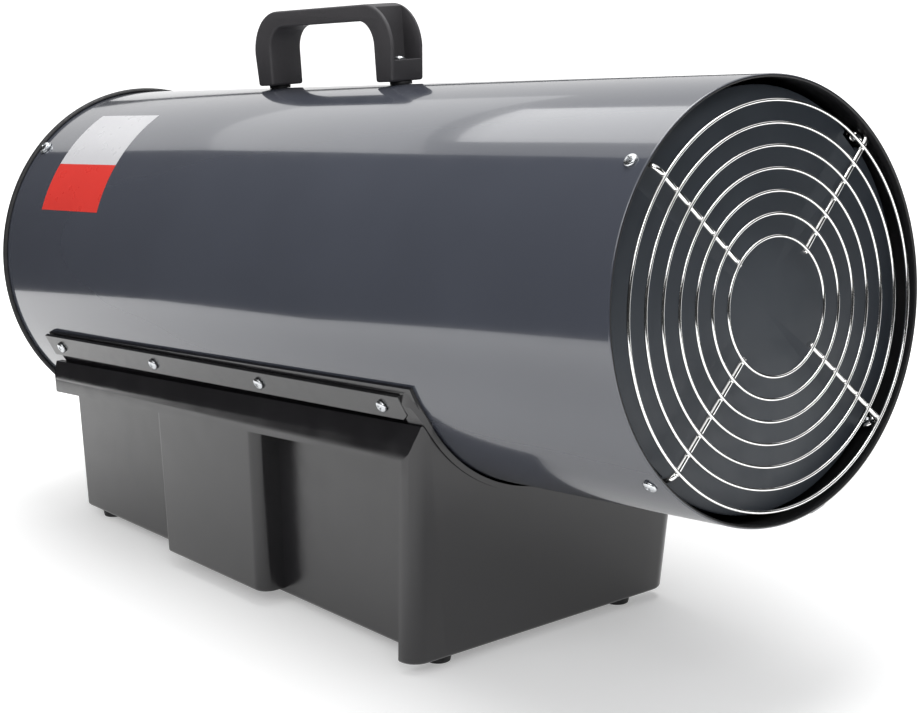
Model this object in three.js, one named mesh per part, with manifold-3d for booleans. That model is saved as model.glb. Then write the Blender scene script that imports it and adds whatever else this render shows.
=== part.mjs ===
// Gas-fired forced air heater: a pitched sheet-metal tube with a wire outlet
// guard, a carrying handle and a moulded wedge-shaped base on four feet.
// Millimetres, +Z up, +X out of the hot end. The origin is on the floor under
// the middle of the heater.
import * as THREE from 'three';
import { mergeVertices } from 'three/addons/utils/BufferGeometryUtils.js';
import Module from 'manifold-3d';

const wasm = await Module();
wasm.setup();

// ---------------------------------------------------------------- driving dimensions
const PITCH = THREE.MathUtils.degToRad(4.8); // the hot end points up by this much
const CASING = { length: 799, radius: 150, sheet: 1, hemDepth: 8, hemThickness: 2.5,
  facets: 56 };
const OUTLET = { x: 398.4, z: 296 }; // centre of the hot end's rim
const GAP = 0.3; // clearance between pieces that touch

const GUARD = { rings: 7, innerRadius: 46.5, outerRadius: 135.7, wire: 2.4, spokeWire: 4.2,
  plane: 2, drop: 2.9, spokeAngles: [45.1, 134.9, 223.1, 316.9], bend: 6.5, bendInset: 6.5,
  eyeInset: 4.2, sides: 5, roundness: 12 };
const REAR_GUARD = { rings: 4, innerRadius: 46, outerRadius: 136, wire: 2.4, spokeWire: 3.4,
  plane: -796.6, drop: 0, spokeAngles: [45, 135, 225, 315], bend: 2.4, bendInset: 2.9,
  eyeInset: 2.1, sides: 4, roundness: 8 };
const SCREW = { shank: 2, headRadius: 5, headHeight: 2.8, hole: 2.35, washerRadius: 6.2 };
const OUTLET_SCREWS = { x: -14.3, angles: [43.4, 136.6, 223.5, 316.5], length: 9.5, washer: 0 };
const REAR_SCREWS = { x: -787.5, angles: [45, 135, 225, 315], length: 14, washer: 1.2 };
const TRIM = { height: 4, over: 2.6, wall: 1 }; // channel pressed over the rear rim

const BASE = { rear: -746, shoulderRear: -744.5, frontAtFloor: -228, frontLean: 0.105,
  halfWidth: 130.5, draft: 0.05, floorGap: 8, wall: 3, recessHalfWidth: 108, top: 230,
  bottomEdge: 3, frontFrame: 17, shoulderBottom: -112 };
const BLOCK = { rear: -566, rearLean: 0.014, front: -423.4, frontLean: 0.05, bottom: 13,
  rearRadius: 4, frontRadius: 10, top: 215 };
const CAP = [[141.4, -124], [137.4, -104], [135.8, -96], [132.4, -84.5]]; // the sides' edge, [y, z]
const CRADLE_RADIUS = 152; // the base's saddle under the casing
const LIP = { radius: 156, proud: 2.2 };
const FLANGE = { rear: -744, front: -215, highAngle: 21.4, lowAngle: 34.5 }; // beside the casing
const FOOT_PLACES = [[-246, -92], [-246, 92], [-724, -92], [-724, 92]];

const STRIP = { rear: -746.5, front: -228.5, angle: 26.55, skew: 0.51, inner: 153.5,
  thickness: 3, width: 21, cornerLength: 6.7, cornerHeight: 4.6 };
const STRIP_SCREWS = [-724, -567, -410, -253];

const HANDLE = { centre: -471.6, depth: 32, foot: 152.6, top: 215.3, gripBottom: 202,
  halfOuter: 94.6, halfInner: 73, bulge: 2.8, outerCorner: 35, innerCorner: 20,
  pocketWidth: 26, pocketFloor: 169.6, wall: 2.5, screwOffset: 85.5 };

const LINER = { rear: -610, front: -75, radius: 119, sheet: 1 };
const DISC = { plane: -17.2, radius: 143.5, sheet: 1.5, notch: 9 };
const MOTOR = { rear: -785, front: -705.3, radius: 46 };
const FAN = { rear: -696, front: -660, radius: 132, hubRadius: 27, blades: 5 };
const SHAFT_RADIUS = 4;
const BURNER_PLATE = LINER.rear + 7; // rear face of the plate that holds the burner
const IGNITION_REACH = 54; // how far the electrode and the thermocouple stand off the axis
const GAS_PIPE = { drop: -640, radius: 4 };

const PANEL_HEIGHT = 42; // controls' centre line above the floor
const CONTROLS = {
  gland: { y: -84, hole: 8.3 },
  rocker: { y: -42, halfY: 9.3, halfZ: 13.3 },
  igniter: { y: 2, hole: 8.8 },
  button: { y: 46, hole: 14.3 },
  nipple: { y: 82, hole: 9.5 },
};
const VALVE = { rear: BASE.rear + 6, front: -694, low: 24, high: 60, near: 30, far: 96,
  pipeY: 60, pipeZ: 42 };
const ROCKER_TILT = 7; // degrees either side of the middle

// ---------------------------------------------------------------- finishes
const finish = (color, roughness, metalness) => ({ color, roughness, metalness });
const SLATE_PAINT = finish(0x4b4e58, 0.28, 0.1);
const BLACK_PLASTIC = finish(0x232325, 0.35, 0);
const GREY_PLASTIC = finish(0x3a3a3d, 0.75, 0);
const BRIGHT_WIRE = finish(0xd8d8d6, 0.18, 1);
const ZINC = finish(0xc4c6c8, 0.3, 1);
const STEEL = finish(0x9a9da0, 0.4, 1);
const BRASS = finish(0xb08d4a, 0.3, 1);
const BLACK_RUBBER = finish(0x1b1b1c, 0.85, 0);
const WHITE_CERAMIC = finish(0xe6e2d8, 0.5, 0);
const RED_PLASTIC = finish(0xb02a22, 0.4, 0);

// ---------------------------------------------------------------- solids and booleans
/** A closed solid from a geometry, its faces turned to point out. */
function solid(geometry) {
  const bare = geometry.clone();
  for (const name of Object.keys(bare.attributes)) {
    if (name !== 'position') bare.deleteAttribute(name);
  }
  const merged = mergeVertices(bare, 1e-4);
  const corners = merged.index.array;
  const place = merged.attributes.position;
  const a = new THREE.Vector3();
  const b = new THREE.Vector3();
  const c = new THREE.Vector3();
  const faces = [];
  let volume = 0;
  for (let i = 0; i < corners.length; i += 3) {
    const [p, q, r] = [corners[i], corners[i + 1], corners[i + 2]];
    if (p === q || q === r || r === p) continue;
    a.fromBufferAttribute(place, p);
    b.fromBufferAttribute(place, q);
    c.fromBufferAttribute(place, r);
    volume += a.dot(b.cross(c));
    faces.push([p, q, r]);
  }
  const triVerts = new Uint32Array(faces.flatMap((f) => (volume < 0 ? [f[0], f[2], f[1]] : f)));
  const vertProperties = new Float32Array(place.array);
  return new wasm.Manifold(new wasm.Mesh({ numProp: 3, vertProperties, triVerts }));
}

/** The geometry of a solid, for a mesh. */
function geometryOf(manifold) {
  const mesh = manifold.getMesh();
  const geometry = new THREE.BufferGeometry();
  geometry.setAttribute('position', new THREE.BufferAttribute(mesh.vertProperties, 3));
  geometry.setIndex(new THREE.BufferAttribute(mesh.triVerts, 1));
  geometry.computeVertexNormals();
  return geometry;
}

const join = (parts) => parts.reduce((whole, part) => whole.add(part));
const cut = (whole, tools) => tools.reduce((rest, tool) => rest.subtract(tool), whole);

/** A piece turned about the X axis; the profile lists [along, radius]. */
function turned(profile, segments = 24) {
  const points = profile.map(([along, radius]) => new THREE.Vector2(radius, along));
  const closesOnAxis = points[0].x === 0 && points[points.length - 1].x === 0;
  if (!closesOnAxis) points.push(points[0].clone());
  return new THREE.LatheGeometry(points, segments).rotateZ(-Math.PI / 2);
}

/** A cylinder along X. */
const rod = (from, to, radius, segments = 12) => (
  turned([[from, 0], [from, radius], [to, radius], [to, 0]], segments));

/** A ring along X. */
const ring = (from, to, inner, outer, segments = 48) => (
  turned([[from, inner], [from, outer], [to, outer], [to, inner]], segments));

/** A hexagon nut along X with a round bore. */
const hexNut = (from, to, bore, outer) => (
  cut(solid(rod(from, to, outer, 6)), [solid(rod(from - 1, to + 1, bore, 12))]));

/** A box from its lowest and highest corners. */
function box(low, high) {
  const size = high.map((value, i) => value - low[i]);
  const centre = high.map((value, i) => (value + low[i]) / 2);
  return new THREE.BoxGeometry(...size).translate(...centre);
}

/** A piece made along X, turned to point another way from a given place. */
function aim(geometry, place, direction) {
  const x = new THREE.Vector3(1, 0, 0);
  const turn = new THREE.Quaternion().setFromUnitVectors(x, direction.clone().normalize());
  return geometry.clone().applyQuaternion(turn).translate(...place);
}

/** The unit vector square to the casing's axis at an angle from +Y. */
const radial = (angle) => new THREE.Vector3(0, Math.cos(angle), Math.sin(angle));

/** A flat outline in (y, z), extruded along X. */
function prism(outline, from, to) {
  const shape = new THREE.Shape(outline.map(([y, z]) => new THREE.Vector2(y, z)));
  const geometry = new THREE.ExtrudeGeometry(shape, { depth: to - from, bevelEnabled: false });
  return geometry.applyMatrix4(new THREE.Matrix4().set(
    0, 0, 1, from,
    1, 0, 0, 0,
    0, 1, 0, 0,
    0, 0, 0, 1,
  ));
}

/** An outline of an arc band between two radii and two angles, for prism(). */
function arcBand(inner, outer, start, end, steps) {
  const at = (radius, i) => {
    const angle = start + ((end - start) * i) / steps;
    return [radius * Math.cos(angle), radius * Math.sin(angle)];
  };
  const counts = Array.from({ length: steps + 1 }, (_, i) => i);
  return [...counts.map((i) => at(outer, i)), ...counts.reverse().map((i) => at(inner, i))];
}

/** A tapered block between a lower and an upper outline with the same number of points. */
function loft(lower, upper, bottom, top) {
  const count = lower.length;
  const positions = [];
  const corner = (ring2d, height, i) => [ring2d[i % count].x, ring2d[i % count].y, height];
  for (let i = 0; i < count; i += 1) {
    const a = corner(lower, bottom, i);
    const b = corner(lower, bottom, i + 1);
    const c = corner(upper, top, i + 1);
    const d = corner(upper, top, i);
    positions.push(...a, ...b, ...c, ...a, ...c, ...d);
  }
  for (const [p, q, r] of THREE.ShapeUtils.triangulateShape(lower, [])) {
    positions.push(...corner(lower, bottom, r), ...corner(lower, bottom, q), ...corner(lower, bottom, p));
    positions.push(...corner(upper, top, p), ...corner(upper, top, q), ...corner(upper, top, r));
  }
  const geometry = new THREE.BufferGeometry();
  geometry.setAttribute('position', new THREE.Float32BufferAttribute(positions, 3));
  return geometry;
}

/** A rectangle outline with rounded rear and front corners, anticlockwise from above. */
function roundedOutline(rear, front, halfWidth, rearRadius, frontRadius, steps = 3) {
  const points = [];
  const corner = (x, y, radius, start) => {
    for (let i = 0; i <= steps; i += 1) {
      const angle = start + (Math.PI / 2) * (i / steps);
      points.push(new THREE.Vector2(x + radius * Math.cos(angle), y + radius * Math.sin(angle)));
    }
  };
  corner(front - frontRadius, -halfWidth + frontRadius, frontRadius, -Math.PI / 2);
  corner(front - frontRadius, halfWidth - frontRadius, frontRadius, 0);
  corner(rear + rearRadius, halfWidth - rearRadius, rearRadius, Math.PI / 2);
  corner(rear + rearRadius, -halfWidth + rearRadius, rearRadius, Math.PI);
  return points;
}

/** A wire's centre line through points, one step from each point to the next. */
class WirePath extends THREE.Curve {
  constructor(points) {
    super();
    this.points = points;
  }

  getUtoTmapping(u) {
    return u;
  }

  getPoint(t, target = new THREE.Vector3()) {
    const place = THREE.MathUtils.clamp(t, 0, 1) * (this.points.length - 1);
    const i = Math.min(Math.floor(place), this.points.length - 2);
    return target.lerpVectors(this.points[i], this.points[i + 1], place - i);
  }
}

/** A round wire or pipe along points, with bends already in them. */
function wire(points, radius, sides = 6) {
  const shape = new THREE.Shape();
  for (let i = 0; i < sides; i += 1) {
    const angle = (2 * Math.PI * i) / sides;
    const [x, y] = [radius * Math.cos(angle), radius * Math.sin(angle)];
    if (i === 0) shape.moveTo(x, y);
    else shape.lineTo(x, y);
  }
  const path = new WirePath(points);
  return new THREE.ExtrudeGeometry(shape, { steps: points.length - 1, extrudePath: path });
}

/** Points through a rounded corner between two straight runs. */
function bend(before, corner, after, radius, steps = 4) {
  const inward = before.clone().sub(corner).setLength(radius).add(corner);
  const outward = after.clone().sub(corner).setLength(radius).add(corner);
  return new THREE.QuadraticBezierCurve3(inward, corner, outward).getPoints(steps);
}

// ---------------------------------------------------------------- the assembly
const heater = new THREE.Group();
const tube = new THREE.Group(); // everything square to the pitched casing
tube.position.set(OUTLET.x, 0, OUTLET.z);
tube.rotation.y = -PITCH;
const stand = new THREE.Group(); // everything square to the floor
stand.position.set(OUTLET.x, 0, 0);
heater.add(tube, stand);

/** Adds a named piece to a group. */
function piece(group, name, shape, look) {
  const geometry = geometryOf(shape.getMesh ? shape : solid(shape));
  const mesh = new THREE.Mesh(geometry, new THREE.MeshStandardMaterial(look));
  mesh.name = name;
  group.add(mesh);
}

/** A tool made in the casing's frame, moved into the stand's frame. */
function fromTubeFrame(geometry) {
  return geometry.clone().rotateY(-PITCH).translate(0, 0, OUTLET.z);
}

/** A point of the casing's frame, in the stand's frame. */
function standPoint(x, y, z) {
  const point = new THREE.Vector3(x, y, z);
  return point.applyAxisAngle(new THREE.Vector3(0, 1, 0), -PITCH).add(new THREE.Vector3(0, 0, OUTLET.z));
}

// ---------------------------------------------------------------- screws
/** A pan-head sheet screw along X, its seat at x = 0, with or without a washer. */
function screw(length, washer = 0) {
  const { shank, headRadius, headHeight, washerRadius } = SCREW;
  const rim = washer > 0 ? [[0, washerRadius], [washer, washerRadius]] : [];
  return turned([
    [-length, 0], [-length + 2.5, shank], [0, shank], ...rim, [washer, headRadius],
    [washer + 0.5 * headHeight, headRadius], [washer + headHeight, 0.55 * headRadius],
    [washer + headHeight, 0],
  ], 8);
}

const radians = (degrees) => THREE.MathUtils.degToRad(degrees);

/** How far a spoke runs from the guard's centre to stop an inset short of the casing's wall. */
function wallReach(angle, drop, inset) {
  const radius = CASING.radius - CASING.sheet - inset;
  const along = -drop * Math.sin(angle);
  return -along + Math.sqrt(along * along + radius * radius - drop * drop);
}

/** A clearance hole for a screw square to the casing. */
const radialHole = (x, degrees, from, to) => (
  solid(aim(rod(from, to, SCREW.hole, 6), [x, 0, 0], radial(radians(degrees)))));

const ringHoles = (screws, from, to) => (
  screws.angles.map((angle) => radialHole(screws.x, angle, from, to)));

// ---------------------------------------------------------------- side strips
const STRIP_SIDES = [{ name: 'right', side: -1 }, { name: 'left', side: 1 }];
const UP = new THREE.Vector3(0, 0, 1);

/** A piece made flat (x along the strip, z square to it), set beside the casing. */
function onStrip(geometry, side) {
  const middle = (STRIP.rear + STRIP.front) / 2;
  const turnedFlat = geometry.clone().translate(-middle, 0, 0);
  turnedFlat.rotateZ(side * radians(STRIP.skew)).translate(middle, 0, 0);
  return turnedFlat.rotateX(-side * radians(90 + STRIP.angle));
}

/** The flat bar of a side strip, its lower front corner cut off, grown by a margin. */
function stripBar(side, margin) {
  const { rear, front, inner, thickness, width, cornerLength, cornerHeight } = STRIP;
  const half = width / 2 + margin;
  const [back, ahead] = [rear - margin, front + margin];
  const shape = new THREE.Shape([
    [back, -side * half], [ahead, -side * half], [ahead, side * (half - cornerHeight)],
    [ahead - cornerLength, side * half], [back, side * half],
  ].map(([x, y]) => new THREE.Vector2(x, y)));
  const depth = thickness + 2 * margin;
  const bar = new THREE.ExtrudeGeometry(shape, { depth, bevelEnabled: false });
  return onStrip(bar.translate(0, 0, inner - margin), side);
}

/** The clearance holes for one strip's screws. */
const stripHoles = (side, from, to) => STRIP_SCREWS.map((x) => (
  solid(onStrip(aim(rod(from, to, SCREW.hole, 6), [x, 0, 0], UP), side))));

function sideStrip(side) {
  return cut(solid(stripBar(side, 0)), stripHoles(side, 150, 160));
}

// ---------------------------------------------------------------- casing
function outerCasing() {
  const { length, radius, sheet, hemDepth, hemThickness } = CASING;
  const inner = radius - sheet;
  const shell = turned([
    [0, radius - 0.5], [-0.5, radius], [-length, radius], [-length, inner], [-hemDepth, inner],
    [-hemDepth, inner - hemThickness + sheet], [-0.6, inner - hemThickness + sheet], [0, inner - 0.6],
  ], CASING.facets);
  const seamBand = arcBand(radius - 0.4, radius + 0.9, radians(-80), radians(-73), 2);
  const seam = prism(seamBand, -length + 9, -0.6);
  const holes = [
    ...ringHoles(OUTLET_SCREWS, 140, 160),
    ...ringHoles(REAR_SCREWS, 140, 160),
    ...STRIP_SIDES.flatMap(({ side }) => stripHoles(side, 140, 160)),
    ...handleScrewPlaces.map((x) => radialHole(x, 90, 140, 160)),
    solid(aim(rod(140, 160, 7.5, 12), [GAS_PIPE.drop, 0, 0], radial(-Math.PI / 2))),
  ];
  return cut(join([solid(shell), solid(seam)]), holes);
}

/** Rubbery channel pressed over the casing's rear edge. */
function rearEdgeTrim() {
  const { length, radius, sheet } = CASING;
  const { height, over, wall } = TRIM;
  const under = radius - sheet - GAP;
  return turned([
    [-length + 2, under], [-length - GAP, under], [-length - GAP, radius + GAP],
    [-length + over, radius + GAP], [-length + 0.7 * over, radius + 0.65 * height],
    [-length - 0.6, radius + height], [-length - 2, radius + 0.6 * height],
    [-length - 2.5, under - wall], [-length + 2, under - wall],
  ], CASING.facets);
}

// ---------------------------------------------------------------- wire guards
/** Rings welded over spokes whose feet bend back along the wall to an eye for a screw. */
function wireGuard(guard, screws, inward) {
  const { rings, innerRadius, outerRadius, plane, drop, spokeWire } = guard;
  const wireRadius = guard.wire / 2;
  const spokeRadius = spokeWire / 2;
  const parts = [];
  for (let i = 0; i < rings; i += 1) {
    const radius = innerRadius + ((outerRadius - innerRadius) * i) / (rings - 1);
    const segments = 4 * Math.round((guard.roundness + 0.14 * radius) / 4);
    const loop = new THREE.TorusGeometry(radius, wireRadius, guard.sides, segments);
    parts.push(solid(loop.rotateY(Math.PI / 2).translate(plane, 0, -drop)));
  }
  const weldDepth = 0.9;
  const spokePlane = plane + inward * (wireRadius + spokeRadius - weldDepth);
  const eyeWire = spokeRadius - 0.2;
  const eyeRadius = SCREW.hole + eyeWire;
  guard.spokeAngles.forEach((degrees, i) => {
    const angle = radians(degrees);
    const way = radial(angle);
    const at = (reach, x) => way.clone().multiplyScalar(reach).add(new THREE.Vector3(x, 0, -drop));
    const start = at(innerRadius - 2.5, spokePlane);
    const corner = at(wallReach(angle, drop, guard.bendInset), spokePlane);
    const endX = screws.x - inward * (eyeRadius + 0.4);
    const end = at(wallReach(angle, drop, guard.eyeInset), endX);
    parts.push(solid(wire([start, ...bend(start, corner, end, guard.bend, 3), end], spokeRadius, 5)));
    const eye = new THREE.TorusGeometry(eyeRadius, eyeWire, 4, 10);
    const outwards = radial(radians(screws.angles[i]));
    const turn = new THREE.Quaternion().setFromUnitVectors(UP, outwards);
    const centre = outwards.multiplyScalar(CASING.radius - CASING.sheet - guard.eyeInset);
    parts.push(solid(eye.applyQuaternion(turn).translate(screws.x, centre.y, centre.z)));
  });
  return join(parts);
}

// ---------------------------------------------------------------- hot end
/** Round deflector plate behind the guard, on four stays that run back over the liner. */
function baffleDisc() {
  const { plane, radius, sheet, notch } = DISC;
  const plate = turned([
    [plane, 0], [plane, radius - 3], [plane - 4, radius - 1], [plane - 4, radius],
    [plane + sheet, radius], [plane + sheet, 0],
  ], 40);
  const parts = [solid(plate)];
  const stayRadius = LINER.radius + GAP;
  for (let i = 0; i < 4; i += 1) {
    const stay = box([LINER.front - 25, -8, stayRadius], [plane + 0.5, 8, stayRadius + 1.5]);
    parts.push(solid(stay.rotateX((i * Math.PI) / 2)));
  }
  const notches = OUTLET_SCREWS.angles.map((angle) => (
    solid(box([plane - 6, -notch, radius - 4.5], [plane + 6, notch, radius + 5])
      .rotateX(radians(angle - 90)))));
  return cut(join(parts), notches);
}

/** Inner combustion tube with lugs bent out to the casing. */
function innerLiner() {
  const { rear, front, radius, sheet } = LINER;
  const parts = [solid(ring(rear, front, radius - sheet, radius, 40))];
  const reach = CASING.radius - CASING.sheet - 0.6;
  for (const x of [rear + 30, front - 30]) {
    for (let i = 0; i < 4; i += 1) {
      const angle = ((i + 0.5) * Math.PI) / 2;
      const web = box([x, -7, radius - 0.6], [x + 1.5, 7, reach]);
      const foot = box([x, -7, reach - 1.5], [x + 12, 7, reach]);
      parts.push(solid(web.rotateX(angle)), solid(foot.rotateX(angle)));
    }
  }
  return join(parts);
}

// ---------------------------------------------------------------- motor and fan
function motorBody() {
  const { rear, front, radius } = MOTOR;
  const can = turned([
    [rear, 0], [rear, 0.45 * radius], [rear + 5, 0.8 * radius], [rear + 8, radius],
    [rear + 30, radius], [rear + 32, radius - 2], [front - 32, radius - 2], [front - 30, radius],
    [front - 9, radius], [front, 0.78 * radius], [front, 0],
  ], 20);
  const bore = rod(rear + 40, front + 1, SHAFT_RADIUS + GAP, 12);
  return cut(solid(can), [solid(bore)]);
}

/** Pressed four-legged plate that hangs the motor from the rear screws. */
function motorBracket() {
  const plate = [MOTOR.front + GAP, MOTOR.front + GAP + 2];
  const legTop = CASING.radius - CASING.sheet - 4.3;
  const parts = [solid(rod(plate[0], plate[1], 42, 24))];
  const cuts = [solid(rod(plate[0] - 1, plate[1] + 1, 12, 16))];
  for (const angle of REAR_SCREWS.angles) {
    const turn = radians(angle - 90);
    const arm = box([plate[0], -9, 30], [plate[1], 9, legTop]);
    const leg = box([REAR_SCREWS.x - 4.4, -9, legTop - 2], [plate[1], 9, legTop]);
    parts.push(solid(arm.rotateX(turn)), solid(leg.rotateX(turn)));
    cuts.push(radialHole(REAR_SCREWS.x, angle, 130, 150));
  }
  return cut(join(parts), cuts);
}

/** Axial fan: a hub with cambered blades that twist towards their tips. */
function fanRotor() {
  const { rear, front, radius, hubRadius, blades } = FAN;
  const middle = (rear + front) / 2;
  const hub = turned([
    [rear, SHAFT_RADIUS + GAP], [rear, 0.8 * hubRadius], [rear + 4, hubRadius],
    [front - 10, hubRadius], [front - 3, 0.75 * hubRadius], [front, 0.5 * hubRadius],
    [front, SHAFT_RADIUS + GAP],
  ], 20);
  const parts = [solid(hub)];
  const span = radius - hubRadius + 3;
  for (let i = 0; i < blades; i += 1) {
    const blade = new THREE.BoxGeometry(1, 2, span, 3, 1, 4);
    const place = blade.attributes.position;
    for (let v = 0; v < place.count; v += 1) {
      const share = place.getZ(v) / span + 0.5;
      const across = place.getX(v);
      const chord = THREE.MathUtils.lerp(38, 84, Math.sin(share * Math.PI * 0.62));
      const twist = radians(THREE.MathUtils.lerp(48, 22, share));
      const camber = 7 * (1 - 4 * across * across) * (1 - 0.4 * share);
      const along = across * chord;
      const lift = place.getY(v) + camber;
      const x = along * Math.sin(twist) + lift * Math.cos(twist);
      const y = along * Math.cos(twist) - lift * Math.sin(twist);
      place.setXYZ(v, middle + 0.62 * x, y + 10 * share, hubRadius - 3 + share * span);
    }
    parts.push(solid(blade.rotateX((2 * Math.PI * i) / blades)));
  }
  return join(parts);
}

function motorShaft() {
  return rod(MOTOR.front - 35, FAN.front + 16, SHAFT_RADIUS, 12);
}

function fanNut() {
  const start = FAN.front + GAP;
  return hexNut(start, start + 7, SHAFT_RADIUS + GAP, 8);
}

// ---------------------------------------------------------------- burner
/** Cupped flame holder with two rows of air slots. */
function burnerCup() {
  const rear = BURNER_PLATE + 2 + GAP;
  const cup = turned([
    [rear, 6.5], [rear, 26], [rear + 14, 40], [rear + 62, 50], [rear + 62, 48.5],
    [rear + 14.4, 38.3], [rear + 1.5, 25.2], [rear + 1.5, 6.5],
  ], 20);
  const slots = [];
  for (let i = 0; i < 6; i += 1) {
    const angle = (2 * Math.PI * i) / 6;
    slots.push(solid(box([rear + 24, -3, 30], [rear + 46, 3, 60]).rotateX(angle)));
  }
  return cut(solid(cup), slots);
}

function burnerBracket() {
  const x = BURNER_PLATE;
  const half = LINER.radius - LINER.sheet - 1.5;
  const bar = solid(box([x, -14, -half], [x + 2, 14, half]));
  const cross = solid(box([x, -62, -12], [x + 2, 62, 12]));
  const holes = [
    solid(rod(x - 1, x + 3, 6.5, 12)),
    ...[-1, 1].map((side) => (
      solid(rod(x - 1, x + 3, 4.4, 10).translate(0, side * IGNITION_REACH, 0)))),
  ];
  return cut(join([bar, cross]), holes);
}

function burnerNozzle() {
  const start = LINER.rear - 15;
  const shoulderEnd = BURNER_PLATE - GAP;
  return turned([
    [start, 0], [start, 8.5], [shoulderEnd, 8.5], [shoulderEnd, 6.2], [start + 34, 6.2],
    [start + 40, 2.5], [start + 40, 0],
  ], 12);
}

/** Ceramic rod on the burner plate with a wire bent in across the cup's mouth. */
function sparkElectrode() {
  const stem = rod(BURNER_PLATE - 22, BURNER_PLATE + 12, 4, 10).translate(0, IGNITION_REACH, 0);
  const mouth = BURNER_PLATE + 68;
  const start = new THREE.Vector3(BURNER_PLATE + 10, IGNITION_REACH, 0);
  const corner = new THREE.Vector3(mouth, IGNITION_REACH, 0);
  const tip = new THREE.Vector3(mouth, IGNITION_REACH - 12, 0);
  return join([solid(stem), solid(wire([start, ...bend(start, corner, tip, 4, 2), tip], 1.2, 5))]);
}

/** Straight flame probe beside the cup. */
function thermocouple() {
  const x = BURNER_PLATE;
  return turned([
    [x - 34, 0], [x - 34, 2.5], [x - 6, 2.5], [x - 6, 4], [x + 8, 4], [x + 10, 2.2],
    [x + 66, 2.2], [x + 68, 0],
  ], 10).translate(0, -IGNITION_REACH, 0);
}

/** Copper pipe from the valve in the base up through the casing to the nozzle. */
function gasPipe() {
  const nozzle = standPoint(LINER.rear - 15 - GAP, 0, 0);
  const corner = standPoint(GAS_PIPE.drop, 0, 0);
  const below = standPoint(GAS_PIPE.drop, 0, -176);
  const aside = new THREE.Vector3(below.x, VALVE.pipeY, VALVE.pipeZ);
  const valve = new THREE.Vector3(VALVE.front + GAP, VALVE.pipeY, VALVE.pipeZ);
  const points = [
    nozzle, ...bend(nozzle, corner, below, 12), ...bend(corner, below, aside, 16),
    ...bend(below, aside, valve, 16), valve,
  ];
  return wire(points, GAS_PIPE.radius, 6);
}

/** Snap-disc overheat cut-out under the casing. */
function overheatThermostat() {
  const top = -CASING.radius - GAP;
  const can = turned([[0, 0], [0, 10], [2, 12], [3, 12], [3, 8.5], [11, 8.5], [12, 7], [12, 0]], 16);
  return aim(can, [-500, 0, top], new THREE.Vector3(0, 0, -1));
}

// ---------------------------------------------------------------- handle
const handleScrewPlaces = [-1, 1].map((side) => HANDLE.centre + side * HANDLE.screwOffset);

/** Moulded grip: a flat-topped arch whose legs are open channels outside a screw block. */
function handle() {
  const { centre, depth, foot, top, gripBottom, halfOuter, halfInner, bulge } = HANDLE;
  const { outerCorner, innerCorner, pocketWidth, pocketFloor, wall, screwOffset } = HANDLE;
  const wide = halfOuter + bulge;
  const shape = new THREE.Shape();
  shape.moveTo(halfOuter, foot);
  shape.lineTo(wide, top - outerCorner);
  shape.absarc(wide - outerCorner, top - outerCorner, outerCorner, 0, Math.PI / 2);
  shape.absarc(-wide + outerCorner, top - outerCorner, outerCorner, Math.PI / 2, Math.PI);
  shape.lineTo(-halfOuter, foot);
  shape.lineTo(-halfInner, foot);
  const innerTop = gripBottom - innerCorner;
  shape.lineTo(-halfInner, innerTop);
  shape.absarc(-halfInner + innerCorner, innerTop, innerCorner, Math.PI, Math.PI / 2, true);
  shape.absarc(halfInner - innerCorner, innerTop, innerCorner, Math.PI / 2, 0, true);
  shape.lineTo(halfInner, foot);
  const bevel = 1.6;
  const arch = new THREE.ExtrudeGeometry(shape, {
    depth: depth - 2 * bevel, curveSegments: 6, bevelEnabled: true, bevelSegments: 1,
    bevelThickness: bevel, bevelSize: bevel, bevelOffset: -bevel,
  });
  arch.translate(0, 0, -depth / 2 + bevel).rotateX(Math.PI / 2).translate(centre, 0, 0);
  const tools = [];
  for (const side of [-1, 1]) {
    const edges = [centre + side * (halfInner + wall), centre + side * (wide + 20)];
    const [low, high] = edges.sort((a, b) => a - b);
    tools.push(solid(box([low, -pocketWidth / 2, pocketFloor], [high, pocketWidth / 2, top + 20])));
    const hole = aim(rod(foot - 5, pocketFloor + 5, SCREW.hole, 8),
      [centre + side * screwOffset, 0, 0], UP);
    tools.push(solid(hole));
  }
  return cut(solid(arch), tools);
}

function handleSpacer(x) {
  const low = CASING.radius + GAP;
  return aim(ring(low, HANDLE.foot - GAP, SCREW.hole, 9, 16), [x, 0, 0], UP);
}

// ---------------------------------------------------------------- base
const floorDraft = (height) => BASE.draft * (height - BASE.floorGap);
const frontAt = (height) => BASE.frontAtFloor + BASE.frontLean * (height - BASE.floorGap);

/** A tapering body whose bottom edge is chamfered; outline(height, inset) gives its plan. */
function tapered(outline, bottom, top, edge) {
  const foot = loft(outline(bottom, edge), outline(bottom + edge, 0), bottom, bottom + edge);
  const wall = loft(outline(bottom + edge, 0), outline(top, 0), bottom + edge, top);
  return edge > 0 ? solid(foot).add(solid(wall)) : solid(wall);
}

/** The base's body between two heights, drawn in by an inset. */
function baseBody(rear, halfWidth, inset, frontRadius) {
  const outline = (height, more) => roundedOutline(
    rear + inset + more, frontAt(height) - inset - more,
    halfWidth - inset - more + floorDraft(height), 5, frontRadius - inset);
  const edge = inset > 0 ? 0 : BASE.bottomEdge;
  return tapered(outline, BASE.floorGap + inset, BASE.top, edge);
}

/** The raised middle block on the base's sides, drawn in by an inset. */
function middleBlock(inset) {
  const { rear, rearLean, front, frontLean, bottom, rearRadius, frontRadius, top } = BLOCK;
  const outline = (height, more) => roundedOutline(
    rear + rearLean * height + inset, front + frontLean * height - inset,
    BASE.halfWidth - inset - more + floorDraft(height), rearRadius, frontRadius - inset);
  const edge = inset > 0 ? 0 : BASE.bottomEdge;
  return tapered(outline, bottom + inset, top, edge);
}

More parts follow.
